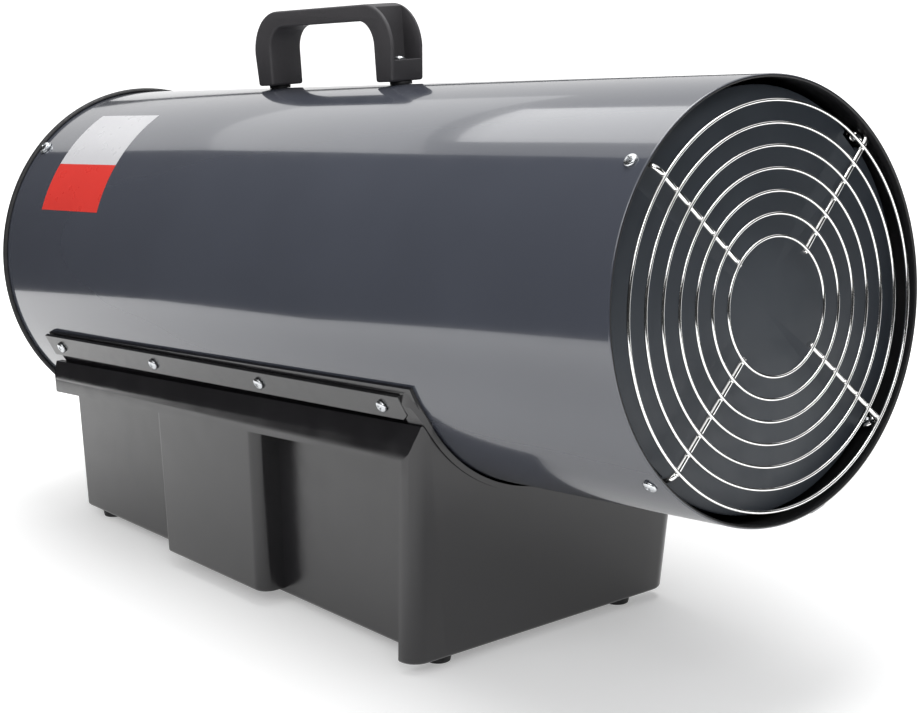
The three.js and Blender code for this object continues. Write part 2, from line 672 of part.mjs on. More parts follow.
/** The top of the base's sides: a limit that follows the casing, drawn in by an inset. */
function capSection(inset) {
  const right = CAP.map(([y, z], i) => [y - inset, i === CAP.length - 1 ? z - inset : z]);
  const skirt = [[200, CAP[0][1]], [200, -400]];
  const half = [...right.reverse(), ...skirt];
  const outline = [...half, ...half.map(([y, z]) => [-y, z]).reverse()];
  return solid(fromTubeFrame(prism(outline, -900, 50)));
}

/** Everything above the shoulder's lower edge, which runs along the casing. */
const aboveShoulder = (inset) => (
  solid(fromTubeFrame(box([-900, -200, BASE.shoulderBottom + inset], [50, 200, 0]))));

/** Everything ahead of the side pockets' leaning front wall. */
function aheadOfPocket(inset) {
  const outline = (height) => {
    const back = frontAt(height) - BASE.frontFrame + inset;
    return roundedOutline(back, 0, 200, 1, 1, 1);
  };
  return solid(loft(outline(0), outline(BASE.top + 30), 0, BASE.top + 30));
}

function baseShell() {
  const { rear, shoulderRear, halfWidth, recessHalfWidth, wall } = BASE;
  const shape = (inset) => {
    const envelope = baseBody(shoulderRear, halfWidth, inset, 14);
    const body = baseBody(rear, recessHalfWidth, inset, 8);
    const flush = join([aboveShoulder(inset), aheadOfPocket(inset)]).intersect(envelope);
    return join([body, middleBlock(inset), flush]).intersect(capSection(inset));
  };
  const saddle = solid(fromTubeFrame(rod(-900, 50, CRADLE_RADIUS, 40)));
  const shell = cut(shape(0), [shape(wall), saddle]);
  const lipRing = solid(fromTubeFrame(ring(-300, -150, CRADLE_RADIUS, LIP.radius, 40)));
  const lipBody = baseBody(rear, halfWidth, 0, 14).translate([LIP.proud, 0, 0]);
  const lip = lipRing.intersect(lipBody).intersect(aheadOfPocket(0));
  const flangeAngles = [radians(FLANGE.highAngle), radians(FLANGE.lowAngle)];
  const flanges = [-1, 1].map((side) => {
    const band = arcBand(CASING.radius + 0.4, STRIP.inner - GAP, ...flangeAngles, 2);
    const outline = band.map(([y, z]) => [side * y, -z]);
    return solid(fromTubeFrame(prism(outline, FLANGE.rear, FLANGE.front)));
  });
  const rearWall = (y, radius) => (
    solid(rod(rear - 5, rear + wall + 5, radius, 16).translate(0, y, PANEL_HEIGHT)));
  const { gland, rocker, igniter, button, nipple } = CONTROLS;
  const openings = [
    ...[gland, igniter, button, nipple].map(({ y, hole }) => rearWall(y, hole)),
    solid(box([rear - 5, rocker.y - rocker.halfY, PANEL_HEIGHT - rocker.halfZ],
      [rear + wall + 5, rocker.y + rocker.halfY, PANEL_HEIGHT + rocker.halfZ])),
    ...FOOT_PLACES.map(([x, y]) => solid(aim(rod(0, 20, 3.2, 8), [x, y, 0], UP))),
  ];
  const seats = STRIP_SIDES.flatMap(({ side }) => [
    solid(fromTubeFrame(stripBar(side, 0.2))),
    ...STRIP_SCREWS.map((x) => (
      solid(fromTubeFrame(onStrip(aim(rod(140, 165, SCREW.hole, 6), [x, 0, 0], UP), side))))),
  ]);
  return cut(join([shell, lip, ...flanges]), [...seats, ...openings]);
}

/** Push-in rubber foot with a barbed stem. */
function foot([x, y]) {
  const floorTop = BASE.floorGap + BASE.wall;
  const profile = [
    [0, 0], [0, 9], [BASE.floorGap - GAP, 10.5], [BASE.floorGap - GAP, 2.8],
    [floorTop + GAP, 2.8], [floorTop + GAP, 4.4], [floorTop + 4, 2], [floorTop + 4, 0],
  ];
  return aim(turned(profile, 12), [x, y, 0], UP);
}

// ---------------------------------------------------------------- controls on the rear wall
/** A piece turned along X, set on the controls' centre line. */
const onPanel = (geometry, y) => geometry.translate(0, y, PANEL_HEIGHT);

function gasValveBody() {
  const { rear, front, low, high, near, far } = VALVE;
  const block = solid(box([rear, near, low], [front, far, high]));
  const sleeve = solid(onPanel(rod(BASE.rear - 8, rear + 2, 14, 20), CONTROLS.button.y));
  const bore = solid(onPanel(rod(BASE.rear - 9, rear + 12, 10.4, 20), CONTROLS.button.y));
  const thread = solid(onPanel(rod(rear - 1, rear + 12, 6.4, 12), CONTROLS.nipple.y));
  return cut(join([block, sleeve]), [bore, thread]);
}

function gasValveButton() {
  const end = BASE.rear - 16;
  return onPanel(turned([
    [end, 0], [end, 8.6], [end + 1.4, 10], [end + 22, 10], [end + 22, 0],
  ], 20), CONTROLS.button.y);
}

function gasInletNipple() {
  const end = BASE.rear - 28;
  const { rear } = VALVE;
  return onPanel(turned([
    [end, 3.5], [end, 7.2], [end + 1, 8], [end + 15, 8], [end + 15, 11], [end + 24, 11],
    [end + 24, 8.6], [rear - GAP, 8.6], [rear - GAP, 6], [rear + 10, 6], [rear + 10, 3.5],
  ], 12), CONTROLS.nipple.y);
}

function igniterBody() {
  const out = BASE.rear - GAP;
  return onPanel(turned([
    [out - 3, 6.4], [out - 3, 10.5], [out - 2, 12], [out, 12], [out, 8.5], [out + 46, 8.5],
    [out + 46, 3], [out + 52, 3], [out + 52, 0], [out + 14, 0], [out + 14, 6.4],
  ], 12), CONTROLS.igniter.y);
}

function igniterButton() {
  const end = BASE.rear - 11;
  return onPanel(turned([
    [end, 0], [end, 4.8], [end + 1.2, 6], [end + 19, 6], [end + 19, 0],
  ], 16), CONTROLS.igniter.y);
}

function cableGland() {
  const out = BASE.rear - GAP;
  return onPanel(turned([
    [out - 22, 4.6], [out - 22, 6], [out - 18, 9.5], [out - 8, 10.5], [out - 8, 12], [out, 12],
    [out, 8], [out + 14, 8], [out + 14, 4.6],
  ], 12), CONTROLS.gland.y);
}

function glandLocknut() {
  const inside = BASE.rear + BASE.wall + GAP;
  const nut = geometryOf(hexNut(inside, inside + 5, 8 + GAP, 12.5));
  return onPanel(nut, CONTROLS.gland.y);
}

function switchHousing() {
  const out = BASE.rear - GAP;
  const { y } = CONTROLS.rocker;
  const at = (x0, x1, halfY, halfZ) => (
    solid(box([x0, y - halfY, PANEL_HEIGHT - halfZ], [x1, y + halfY, PANEL_HEIGHT + halfZ])));
  const whole = join([at(out - 2, out, 11.5, 16), at(out - 1, out + 24, 9, 13)]);
  return cut(whole, [at(out - 3, out + 12, 7, 10.5)]);
}

/** Two-sided rocker, drawn at its off position and turning about a pin across the switch. */
function switchRocker() {
  const { y } = CONTROLS.rocker;
  const shape = new THREE.Shape([
    [0, -9.6], [-3.6, -9.6], [-1.8, 0], [-3.6, 9.6], [0, 9.6], [6, 3], [6, -3],
  ].map(([x, z]) => new THREE.Vector2(x, z)));
  const body = new THREE.ExtrudeGeometry(shape, { depth: 13, bevelEnabled: false });
  body.translate(0, 0, -6.5).rotateX(Math.PI / 2).rotateY(radians(-ROCKER_TILT));
  return body.translate(BASE.rear + 0.5, y, PANEL_HEIGHT);
}

// ---------------------------------------------------------------- putting it together
piece(tube, 'outer_casing', outerCasing(), SLATE_PAINT);
piece(tube, 'rear_edge_trim', rearEdgeTrim(), BLACK_RUBBER);
piece(tube, 'outlet_guard',
  wireGuard(GUARD, OUTLET_SCREWS, -1), BRIGHT_WIRE);
piece(tube, 'rear_guard', wireGuard(REAR_GUARD, REAR_SCREWS, 1), BRIGHT_WIRE);
piece(tube, 'baffle_disc', baffleDisc(), SLATE_PAINT);
piece(tube, 'inner_liner', innerLiner(), STEEL);
piece(tube, 'motor_body', motorBody(), STEEL);
piece(tube, 'motor_bracket', motorBracket(), STEEL);
piece(tube, 'motor_shaft', motorShaft(), STEEL);
piece(tube, 'fan_rotor', fanRotor(), STEEL);
piece(tube, 'fan_nut', fanNut(), ZINC);
piece(tube, 'burner_cup', burnerCup(), STEEL);
piece(tube, 'burner_bracket', burnerBracket(), STEEL);
piece(tube, 'burner_nozzle', burnerNozzle(), BRASS);
piece(tube, 'spark_electrode', sparkElectrode(), WHITE_CERAMIC);
piece(tube, 'thermocouple', thermocouple(), BRASS);
piece(tube, 'overheat_thermostat', overheatThermostat(), ZINC);
piece(tube, 'handle', handle(), GREY_PLASTIC);
handleScrewPlaces.forEach((x, i) => {
  piece(tube, `handle_spacer_${i + 1}`, handleSpacer(x), BLACK_RUBBER);
  const top = HANDLE.pocketFloor + GAP;
  piece(tube, `handle_screw_${i + 1}`, aim(screw(top - 138), [x, 0, top], UP), ZINC);
});
for (const [name, screws] of [['outlet', OUTLET_SCREWS], ['rear', REAR_SCREWS]]) {
  screws.angles.forEach((angle, i) => {
    const out = radial(radians(angle));
    const seat = out.clone().multiplyScalar(CASING.radius + GAP).setX(screws.x);
    piece(tube, `${name}_screw_${i + 1}`, aim(screw(screws.length, screws.washer), seat, out), ZINC);
  });
}
for (const { name, side } of STRIP_SIDES) {
  piece(tube, `${name}_strip`, sideStrip(side), BLACK_PLASTIC);
  STRIP_SCREWS.forEach((x, i) => {
    const seat = [x, 0, STRIP.inner + STRIP.thickness + GAP];
    piece(tube, `${name}_strip_screw_${i + 1}`, onStrip(aim(screw(17), seat, UP), side), ZINC);
  });
}

piece(stand, 'base_shell', baseShell(), BLACK_PLASTIC);
FOOT_PLACES.forEach((place, i) => piece(stand, `foot_${i + 1}`, foot(place), BLACK_RUBBER));
piece(stand, 'gas_pipe', gasPipe(), BRASS);
piece(stand, 'gas_valve_body', gasValveBody(), ZINC);
piece(stand, 'gas_valve_button', gasValveButton(), RED_PLASTIC);
piece(stand, 'gas_inlet_nipple', gasInletNipple(), BRASS);
piece(stand, 'igniter_body', igniterBody(), BLACK_PLASTIC);
piece(stand, 'igniter_button', igniterButton(), RED_PLASTIC);
piece(stand, 'cable_gland', cableGland(), BLACK_PLASTIC);
piece(stand, 'cable_gland_locknut', glandLocknut(), BLACK_PLASTIC);
piece(stand, 'power_switch_housing', switchHousing(), BLACK_PLASTIC);
piece(stand, 'power_switch_rocker', switchRocker(), BLACK_PLASTIC);

export default heater;
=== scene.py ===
"""Gas-fired forced air heater: a pitched enamelled tube on a moulded base.

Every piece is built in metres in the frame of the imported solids: +X out of the
hot end, +Z up, the origin on the floor under the middle of the heater. Shapes
are drawn in millimetres, in the casing's frame or the stand's, and are placed
by CASING_PLACE or STAND_PLACE.
"""

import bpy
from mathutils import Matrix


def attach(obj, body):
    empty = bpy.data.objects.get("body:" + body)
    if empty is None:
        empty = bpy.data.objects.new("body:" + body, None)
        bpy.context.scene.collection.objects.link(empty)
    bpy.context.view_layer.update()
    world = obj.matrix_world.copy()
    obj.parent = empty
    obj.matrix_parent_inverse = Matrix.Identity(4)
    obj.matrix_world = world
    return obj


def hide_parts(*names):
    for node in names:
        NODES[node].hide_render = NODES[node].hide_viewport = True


bl_info = {
    "name": "Forced Air Heater",
    "version": (1, 0, 0),
    "blender": (4, 5, 0),
    "location": "View3D > Sidebar > Heater",
    "description": "Builds a gas-fired forced air heater with its guards, handle and base",
    "category": "Add Mesh",
}

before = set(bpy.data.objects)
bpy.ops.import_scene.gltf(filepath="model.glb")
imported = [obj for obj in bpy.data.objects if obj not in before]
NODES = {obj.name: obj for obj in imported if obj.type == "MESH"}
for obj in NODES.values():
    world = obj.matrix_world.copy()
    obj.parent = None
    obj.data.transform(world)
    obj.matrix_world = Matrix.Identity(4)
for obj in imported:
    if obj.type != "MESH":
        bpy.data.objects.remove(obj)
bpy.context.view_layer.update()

import math
import random

import bmesh
import bpy
from bpy.props import (
    FloatProperty,
    FloatVectorProperty,
    IntProperty,
    PointerProperty,
)
from bpy.types import Operator, Panel, PropertyGroup
from mathutils import Matrix, Vector

MM = 0.001
PITCH = math.radians(4.8)
OUTLET = Vector((398.4, 0, 296))  # centre of the hot end's rim
INNER_WALL = 149.0  # radius inside the casing's sheet

TO_METRES = Matrix.Scale(MM, 4)
CASING_PLACE = TO_METRES @ Matrix.Translation(OUTLET) @ Matrix.Rotation(-PITCH, 4, "Y")
STAND_PLACE = TO_METRES @ Matrix.Translation((OUTLET.x, 0, 0))
METRES_TO_CASING = CASING_PLACE @ Matrix.Scale(1 / MM, 4)
UPRIGHT = Matrix.Rotation(-math.pi / 2, 4, "Y")  # turns X up

OUTLET_SCREWS = {"along": -14.3, "angles": (43.4, 136.6, 223.5, 316.5)}
REAR_SCREWS = {"along": -787.5, "angles": (45.0, 135.0, 225.0, 315.0)}
SCREW_SEAT = 150.3
HANDLE_CENTRE = -471.6
HANDLE_SCREW_OFFSET = 85.5

OUTLET_GUARD = {
    "inner": 46.5, "outer": 135.6, "plane": 1.97, "drop": 2.9, "inward": -1, "bend": 6.5,
    "bend_inset": 6.5, "eye_inset": 4.2, "angles": (45.1, 134.9, 223.1, 316.9),
    "screws": OUTLET_SCREWS}
WELD_DEPTH = 0.9  # how far rings and spokes melt into each other
EYE_BORE = 2.15  # radius inside a spoke's eye
REAR_GUARD = {
    "inner": 46.0, "outer": 136.0, "plane": -796.6, "drop": 0.0, "inward": 1, "bend": 2.4,
    "bend_inset": 2.9, "eye_inset": 2.1, "angles": (45.0, 135.0, 225.0, 315.0),
    "screws": REAR_SCREWS}

CASING = {"sheet": 1.0, "hem": (8.0, 2.5), "seam": (-80, -73)}
PATCH = {
    "ends": (-742, -643), "lifts": (0.02, 0.16),
    "bands": {"patch_light": (118, 141.5), "patch_red": (141.5, 158.6)}}
DISC = {"plane": -17.2, "radius": 143.5, "stays": -100, "stay_radius": 119.3}

STRIP_SIDES = {"right": -1, "left": 1}
STRIP = {
    "rear": -746.5, "front": -228.5, "angle": 26.55, "skew": 0.51, "inner": 153.5,
    "thickness": 3.0, "width": 21.0, "corner_length": 6.7, "corner_height": 4.6}
STRIP_SCREWS = (-724.0, -567.0, -410.0, -253.0)

BASE = {
    "rear": -746.0, "shoulder_rear": -744.5, "front": -228.0, "front_lean": 0.105,
    "half": 130.5, "recess_half": 108.0, "draft": 0.05, "floor": 8.0, "wall": 3.0,
    "edge": 3.0, "frame": 17.0, "shoulder_bottom": -112.0, "top": 230.0, "front_radius": 14,
    "recess_front_radius": 8, "rear_radius": 5}
BLOCK = {
    "rear": -566.0, "rear_lean": 0.014, "front": -423.4, "front_lean": 0.05, "bottom": 13.0,
    "top": 215.0, "front_radius": 10, "rear_radius": 4}
LIP = {"rear": -300, "front": -150, "thickness": 4.0, "proud": 2.2}
FLANGE = {"start": 21.4, "spread": 13.1, "inner": 150.4, "outer": 153.2, "ends": (-744, -215)}
CRADLE = 152.0  # radius of the base's saddle round the casing
CAP = ((141.4, -124.0), (137.4, -104.0), (135.8, -96.0), (132.4, -84.5))
FOOT_PLACES = ((-246, -92), (-246, 92), (-724, -92), (-724, 92))
PANEL_HEIGHT = 42.0
CONTROLS = {"gland": -84.0, "rocker": -42.0, "igniter": 2.0, "button": 46.0, "nipple": 82.0}
CONTROL_HOLES = {"gland": 8.3, "igniter": 8.8, "button": 14.3, "nipple": 9.5}
SWITCH_HOLE = (9.3, 13.3)  # half its width and half its height
STEM_HOLE = 3.2
VALVE = {
    "gap": 6, "front": -694, "low": (30, 24), "high": (96, 60), "sleeve": 14, "bore": 10.4,
    "thread": 6.4}
FAN = {
    "hub": 24.0, "tip": 134.0, "middle": -678.0, "chord": 38, "chord_gain": 46, "twist": 48,
    "untwist": 26, "camber": 7, "thickness": 0.9, "sweep": 10, "squash": 0.62}


# ------------------------------------------------------------------ settings
def length_setting(label, text, default):
    """A length in metres."""
    return FloatProperty(name=label, description=text, default=default, unit="LENGTH")


def count_setting(label, text, default, least=2):
    """A whole number with a least value."""
    return IntProperty(name=label, description=text, default=default, min=least)


def colour_setting(label, text, default):
    """A linear colour."""
    return FloatVectorProperty(
        name=label, description=text, default=default, size=3, subtype="COLOR")


class HeaterSizes(PropertyGroup):
    """The sizes that a user would change."""

    casing_radius: length_setting("Casing radius", "Outside radius of the tube", 0.150)
    casing_length: length_setting("Casing length", "Length of the tube", 0.799)
    guard_rings: count_setting("Guard rings", "Rings in the outlet guard", 7)
    guard_wire: length_setting("Guard wire", "Diameter of the guard's rings", 0.0024)
    spoke_wire: length_setting("Spoke wire", "Diameter of the outlet guard's spokes", 0.0042)
    rear_spoke_wire: length_setting(
        "Rear spoke wire", "Diameter of the rear guard's spokes", 0.0034)
    rear_rings: count_setting("Rear rings", "Rings in the rear guard", 4)
    fan_blades: count_setting("Fan blades", "Blades of the fan", 5)
    fine_steps: count_setting("Fine steps", "Facets round the casing", 256, 24)


class HeaterColours(PropertyGroup):
    """The colours that a user would change."""

    enamel: colour_setting("Enamel", "Colour of the casing", (0.064, 0.070, 0.089))
    disc: colour_setting("Deflector", "Colour of the deflector disc", (0.042, 0.050, 0.062))
    moulding: colour_setting("Moulding", "Colour of the base", (0.012, 0.0115, 0.013))
    grip: colour_setting("Grip", "Colour of the carrying handle", (0.046, 0.044, 0.048))
    patch_light: colour_setting(
        "Patch, light", "Upper part of the bare patch on the casing", (0.60, 0.60, 0.62))
    patch_red: colour_setting(
        "Patch, red", "Lower part of the bare patch on the casing", (0.72, 0.045, 0.035))
    buttons: colour_setting("Buttons", "Colour of the two push buttons", (0.50, 0.02, 0.015))


# ------------------------------------------------------------------ materials
def shader_of(material):
    """The Principled shader of a material."""
    return next(n for n in material.node_tree.nodes if n.type == "BSDF_PRINCIPLED")


def add_node(tree, kind, inputs=None, **settings):
    """A node with its settings, and its inputs linked or given a value."""
    node = tree.nodes.new(kind)
    for key, value in settings.items():
        setattr(node, key, value)
    for key, value in (inputs or {}).items():
        if isinstance(value, bpy.types.NodeSocket):
            tree.links.new(value, node.inputs[key])
        else:
            node.inputs[key].default_value = value
    return node


def empty_material(name):
    """A material whose node tree is still empty."""
    material = bpy.data.materials.new(name)
    material.use_nodes = True
    material.node_tree.nodes.clear()
    return material


def new_finish(name, colour, metallic, roughness, sockets=()):
    """A material whose uniform values stand on the shader's own sockets."""
    material = bpy.data.materials.new(name)
    material.use_nodes = True
    shader = shader_of(material)
    values = {"Base Color": (*colour, 1.0), "Metallic": metallic, "Roughness": roughness}
    for socket, value in {**values, **dict(sockets)}.items():
        shader.inputs[socket].default_value = value
    material.diffuse_color = (*colour, 1.0)
    return material


def object_noise(material, scale, detail=3.0, stretch=(1, 1, 1)):
    """A noise's value over the object's own coordinates, stretched by axis."""
    tree = material.node_tree
    coords = add_node(tree, "ShaderNodeTexCoord")
    mapping = add_node(tree, "ShaderNodeMapping", {
        "Vector": coords.outputs["Object"], "Scale": stretch})
    noise = add_node(tree, "ShaderNodeTexNoise", {
        "Vector": mapping.outputs["Vector"], "Scale": scale, "Detail": detail})
    return noise.outputs["Fac"]


def colour_ramp(material, value, stops):
    """The base colour follows a pattern's value through (position, colour) stops."""
    tree = material.node_tree
    ramp = add_node(tree, "ShaderNodeValToRGB", {"Fac": value})
    elements = ramp.color_ramp.elements
    while len(elements) < len(stops):
        elements.new(0.5)
    for element, (place, colour) in zip(elements, stops):
        element.position = place
        element.color = (*colour, 1.0)
    tree.links.new(ramp.outputs["Color"], shader_of(material).inputs["Base Color"])


def vary_colour(material, value, colour, low, high):
    """The base colour runs between two shades of a colour with a pattern's value."""
    colour_ramp(material, value, ((0.35, shade(colour, low)), (0.65, shade(colour, high))))


def vary_roughness(material, value, low, high):
    """The roughness runs from low to high with a pattern's value."""
    tree = material.node_tree
    spread = add_node(tree, "ShaderNodeMapRange", {
        "Value": value, "From Min": 0.25, "From Max": 0.7, "To Min": low, "To Max": high})
    tree.links.new(spread.outputs["Result"], shader_of(material).inputs["Roughness"])


def add_bump(material, values, strength, depth=0.0002):
    """Bumps from one or more patterns, summed, depth in metres."""
    tree = material.node_tree
    height = values[0]
    for value in values[1:]:
        height = add_node(tree, "ShaderNodeMath", {0: height, 1: value},
                          operation="ADD").outputs["Value"]
    bump = add_node(tree, "ShaderNodeBump", {
        "Height": height, "Strength": strength, "Distance": depth})
    tree.links.new(bump.outputs["Normal"], shader_of(material).inputs["Normal"])


def shade(colour, factor):
    """A colour made lighter or darker."""
    return tuple(min(1.0, c * factor) for c in colour)


def plastic(colour, roughness):
    """The recipe of a moulded plastic or a plain paint."""
    return {"colour": colour, "roughness": roughness, "tint": (80, 3, 0.85, 1.15),
            "gloss": (300, roughness - 0.05, roughness + 0.08), "grain": ((1300, 2),),
            "strength": 0.1}


def film(colour):
    """The recipe of printed film, nearly even, with a faint ripple."""
    return {"colour": colour, "roughness": 0.28, "tint": (14, 3, 0.98, 1.02),
            "gloss": (60, 0.25, 0.33), "grain": ((90, 1),), "strength": 0.04}


# Each coated, moulded or plated finish. Colour: a setting's name or the colour itself.
# Tint: noise scale, detail and the darkest and lightest shade. Gloss: noise scale and the
# least and greatest roughness. Grain: the bump's noise scales and details, and its strength.
COAT = {"Coat Weight": 0.9, "Coat Roughness": 0.05, "Specular IOR Level": 0.6}
FINISHES = {
    "casing_enamel": {
        "colour": "enamel", "roughness": 0.13, "tint": (7, 2, 0.96, 1.04),
        "gloss": (40, 0.11, 0.16), "grain": ((330, 1),), "strength": 0.045, "sockets": COAT},
    # Near black on the tube's inside faces: painted shade of the tube's hollow.
    "casing_lining": {
        "colour": (0.012, 0.012, 0.013), "roughness": 0.4, "tint": (30, 3, 0.8, 1.25),
        "gloss": (90, 0.34, 0.5), "grain": ((500, 1),), "strength": 0.06},
    "disc_paint": {
        "colour": "disc", "roughness": 0.42, "tint": (12, 2, 0.93, 1.07),
        "gloss": (60, 0.38, 0.5), "grain": ((700, 2),), "strength": 0.08},
    "base_moulding": {
        "colour": "moulding", "roughness": 0.2, "tint": (9, 2, 0.85, 1.15),
        "gloss": (45, 0.17, 0.27), "grain": ((1500, 2), (26, 1)), "strength": 0.06,
        "sockets": {"Specular IOR Level": 0.68}},
    "grip_texture": {
        "colour": "grip", "roughness": 0.55, "tint": (1700, 3, 0.8, 1.3),
        "gloss": (1700, 0.48, 0.68), "grain": ((1700, 3),), "strength": 0.5, "depth": 0.0003},
    "strip_paint": {
        "colour": (0.016, 0.016, 0.017), "roughness": 0.22, "tint": (60, 3, 0.8, 1.2),
        "gloss": (120, 0.18, 0.27), "grain": ((800, 1),), "strength": 0.05,
        "sockets": {"Specular IOR Level": 0.9}},
    "guard_chrome": {
        "colour": (0.86, 0.86, 0.85), "metallic": 1.0, "roughness": 0.1,
        "tint": (160, 3, 0.9, 1.0), "gloss": (300, 0.06, 0.16)},
    "zinc_plate": {
        "colour": (0.66, 0.68, 0.70), "metallic": 1.0, "roughness": 0.22,
        "tint": (500, 3, 0.86, 1.08), "gloss": (900, 0.16, 0.32)},
    "black_rubber": {
        "colour": (0.011, 0.011, 0.012), "roughness": 0.55, "tint": (120, 3, 0.7, 1.5),
        "gloss": (300, 0.45, 0.7), "grain": ((900, 2),), "strength": 0.2},
    "electrode_ceramic": {
        "colour": (0.80, 0.78, 0.71), "roughness": 0.25, "tint": (150, 3, 0.9, 1.0),
        "sockets": {"Coat Weight": 0.5}},
    "motor_paint": plastic((0.03, 0.03, 0.033), 0.4),
    "fitting_plastic": plastic((0.015, 0.015, 0.016), 0.42),
    "button_plastic": plastic("buttons", 0.32),
    "patch_light": film("patch_light"),
    "patch_red": film("patch_red"),
}

# Bare metals: colour and the stretch of the grain.
SHEET_METALS = {
    "sheet_steel": ((0.43, 0.44, 0.45), (1, 14, 14)),
    "turned_brass": ((0.62, 0.44, 0.17), (30, 1, 1)),
    "copper_pipe": ((0.68, 0.33, 0.22), (6, 6, 6)),
    "fan_alloy": ((0.55, 0.56, 0.57), (8, 8, 8)),
    "scorched_steel": ((0.42, 0.41, 0.39), (1, 12, 12)),
}
SCORCH = {
    "ends": (-0.21, 0.33),
    "stops": ((0.0, (0.42, 0.41, 0.39)), (0.3, (0.45, 0.33, 0.18)),
              (0.5, (0.22, 0.17, 0.26)), (0.75, (0.16, 0.19, 0.27)))}


def made_finish(name, recipe, colours):
    """A finish from its recipe."""
    colour = recipe["colour"]
    if isinstance(colour, str):
        colour = tuple(getattr(colours, colour))
    material = new_finish(name, colour, recipe.get("metallic", 0.0), recipe["roughness"],
                          recipe.get("sockets", ()))
    scale, detail, low, high = recipe["tint"]
    vary_colour(material, object_noise(material, scale, detail), colour, low, high)
    if "gloss" in recipe:
        scale, low, high = recipe["gloss"]
        vary_roughness(material, object_noise(material, scale), low, high)
    if "grain" in recipe:
        grains = [object_noise(material, scale, detail) for scale, detail in recipe["grain"]]
        add_bump(material, grains, recipe["strength"], recipe.get("depth", 0.0002))
    return material


def sheet_finish(name, colour, stretch):
    """Bare metal with a drawn or turned grain."""
    material = new_finish(name, colour, 1.0, 0.4)
    grain = object_noise(material, 60, 5, stretch)
    vary_colour(material, grain, colour, 0.8, 1.12)
    vary_roughness(material, grain, 0.32, 0.52)
    add_bump(material, [grain], 0.08)
    return material


def scorch(material):
    """The straw and blue tints that a flame leaves along X."""
    tree = material.node_tree
    coords = add_node(tree, "ShaderNodeTexCoord")
    split = add_node(tree, "ShaderNodeSeparateXYZ", {"Vector": coords.outputs["Object"]})
    spread = add_node(tree, "ShaderNodeMapRange", {
        "Value": split.outputs["X"], "From Min": SCORCH["ends"][0],
        "From Max": SCORCH["ends"][1]})
    colour_ramp(material, spread.outputs["Result"], SCORCH["stops"])


def finish(name):
    """A finish that the first operator made."""
    return bpy.data.materials[name]


# ------------------------------------------------------------------ mesh helpers
def grid_faces(bm, rows, wrap_rows, wrap_columns):
    """Quads over rows of vertices; a row of one vertex is a pole."""
    count = len(rows)
    for i in range(count if wrap_rows else count - 1):
        near, far = rows[i], rows[(i + 1) % count]
        width = max(len(near), len(far))
        for j in range(width if wrap_columns else width - 1):
            k = (j + 1) % width
            corners = [near[j % len(near)], near[k % len(near)],
                       far[k % len(far)], far[j % len(far)]]
            unique = list(dict.fromkeys(corners))
            if len(unique) > 2:
                bm.faces.new(unique)


def add_turned(bm, profile, segments=96, place=Matrix()):
    """A solid turned about X from [along, radius] points; closes on the axis or on itself."""
    on_axis = profile[0][1] == 0 and profile[-1][1] == 0
    rows = []
    for along, radius in profile:
        if radius == 0:
            rows.append([bm.verts.new(place @ Vector((along, 0, 0)))])
            continue
        rows.append([
            bm.verts.new(place @ Vector((along, radius * math.cos(a), radius * math.sin(a))))
            for a in (2 * math.pi * i / segments for i in range(segments))])
    grid_faces(bm, rows, not on_axis, True)


def softened(profile, radius, steps=3, closed=False):
    """A profile whose corners are rounded by up to a radius."""
    points = [Vector(p) for p in profile]
    count = len(points)
    result = []
    for i, point in enumerate(points):
        if not closed and i in (0, count - 1):
            result.append(tuple(point))
            continue
        before = points[i - 1] - point
        after = points[(i + 1) % count] - point
        reach = min(radius, 0.45 * before.length, 0.45 * after.length)
        if before.length * after.length == 0 or before.angle(after) > math.radians(165):
            result.append(tuple(point))
            continue
        start = point + before.normalized() * reach
        end = point + after.normalized() * reach
        for step in range(steps + 1):
            t = step / steps
            result.append(tuple(start * (1 - t) ** 2 + point * 2 * t * (1 - t) + end * t ** 2))
    return result


def add_loft(bm, sections):
    """A solid through outlines of equal counts; each section is (outline, height)."""
    rows = [[bm.verts.new((x, y, height)) for x, y in outline] for outline, height in sections]
    grid_faces(bm, rows, False, True)
    bm.faces.new(reversed(rows[0]))
    bm.faces.new(rows[-1])


def add_prism(bm, outline, start, end, to_point):
    """An outline swept between two depths; to_point places (a, b, depth)."""
    near = [bm.verts.new(to_point(a, b, start)) for a, b in outline]
    far = [bm.verts.new(to_point(a, b, end)) for a, b in outline]
    grid_faces(bm, [near, far], False, True)
    bm.faces.new(near)
    bm.faces.new(far)


def add_box(bm, low, high, place=Matrix()):
    """A box from its lowest and highest corners."""
    outline = [(low[0], low[1]), (high[0], low[1]), (high[0], high[1]), (low[0], high[1])]
    add_prism(bm, outline, low[2], high[2], lambda a, b, depth: place @ Vector((a, b, depth)))


def rounded_rectangle(x0, x1, half, rear, front, steps=8):
    """A plan outline with rounded rear and front corners, anticlockwise from above."""
    points = []
    corners = ((x1 - front, -half + front, front, -90), (x1 - front, half - front, front, 0),
               (x0 + rear, half - rear, rear, 90), (x0 + rear, -half + rear, rear, 180))
    for x, y, radius, start in corners:
        for i in range(steps + 1):
            angle = math.radians(start + 90 * i / steps)
            points.append((x + radius * math.cos(angle), y + radius * math.sin(angle)))
    return points


def along_x(a, b, depth):
    """Places a prism's outline square to X."""
    return Vector((depth, a, b))


def about_x(angle):
    """A turn about X that carries +Z to an angle measured from +Y towards +Z."""
    return Matrix.Rotation(angle - math.pi / 2, 4, "X")


def add_object(name, data=None):
    """An object at the origin, with an empty mesh unless it gets data."""
    obj = bpy.data.objects.new(name, data or bpy.data.meshes.new(name))
    bpy.context.scene.collection.objects.link(obj)
    return obj


def drop_tool(obj):
    """Removes a helper object and its mesh."""
    mesh = obj.data
    bpy.data.objects.remove(obj)
    bpy.data.meshes.remove(mesh)


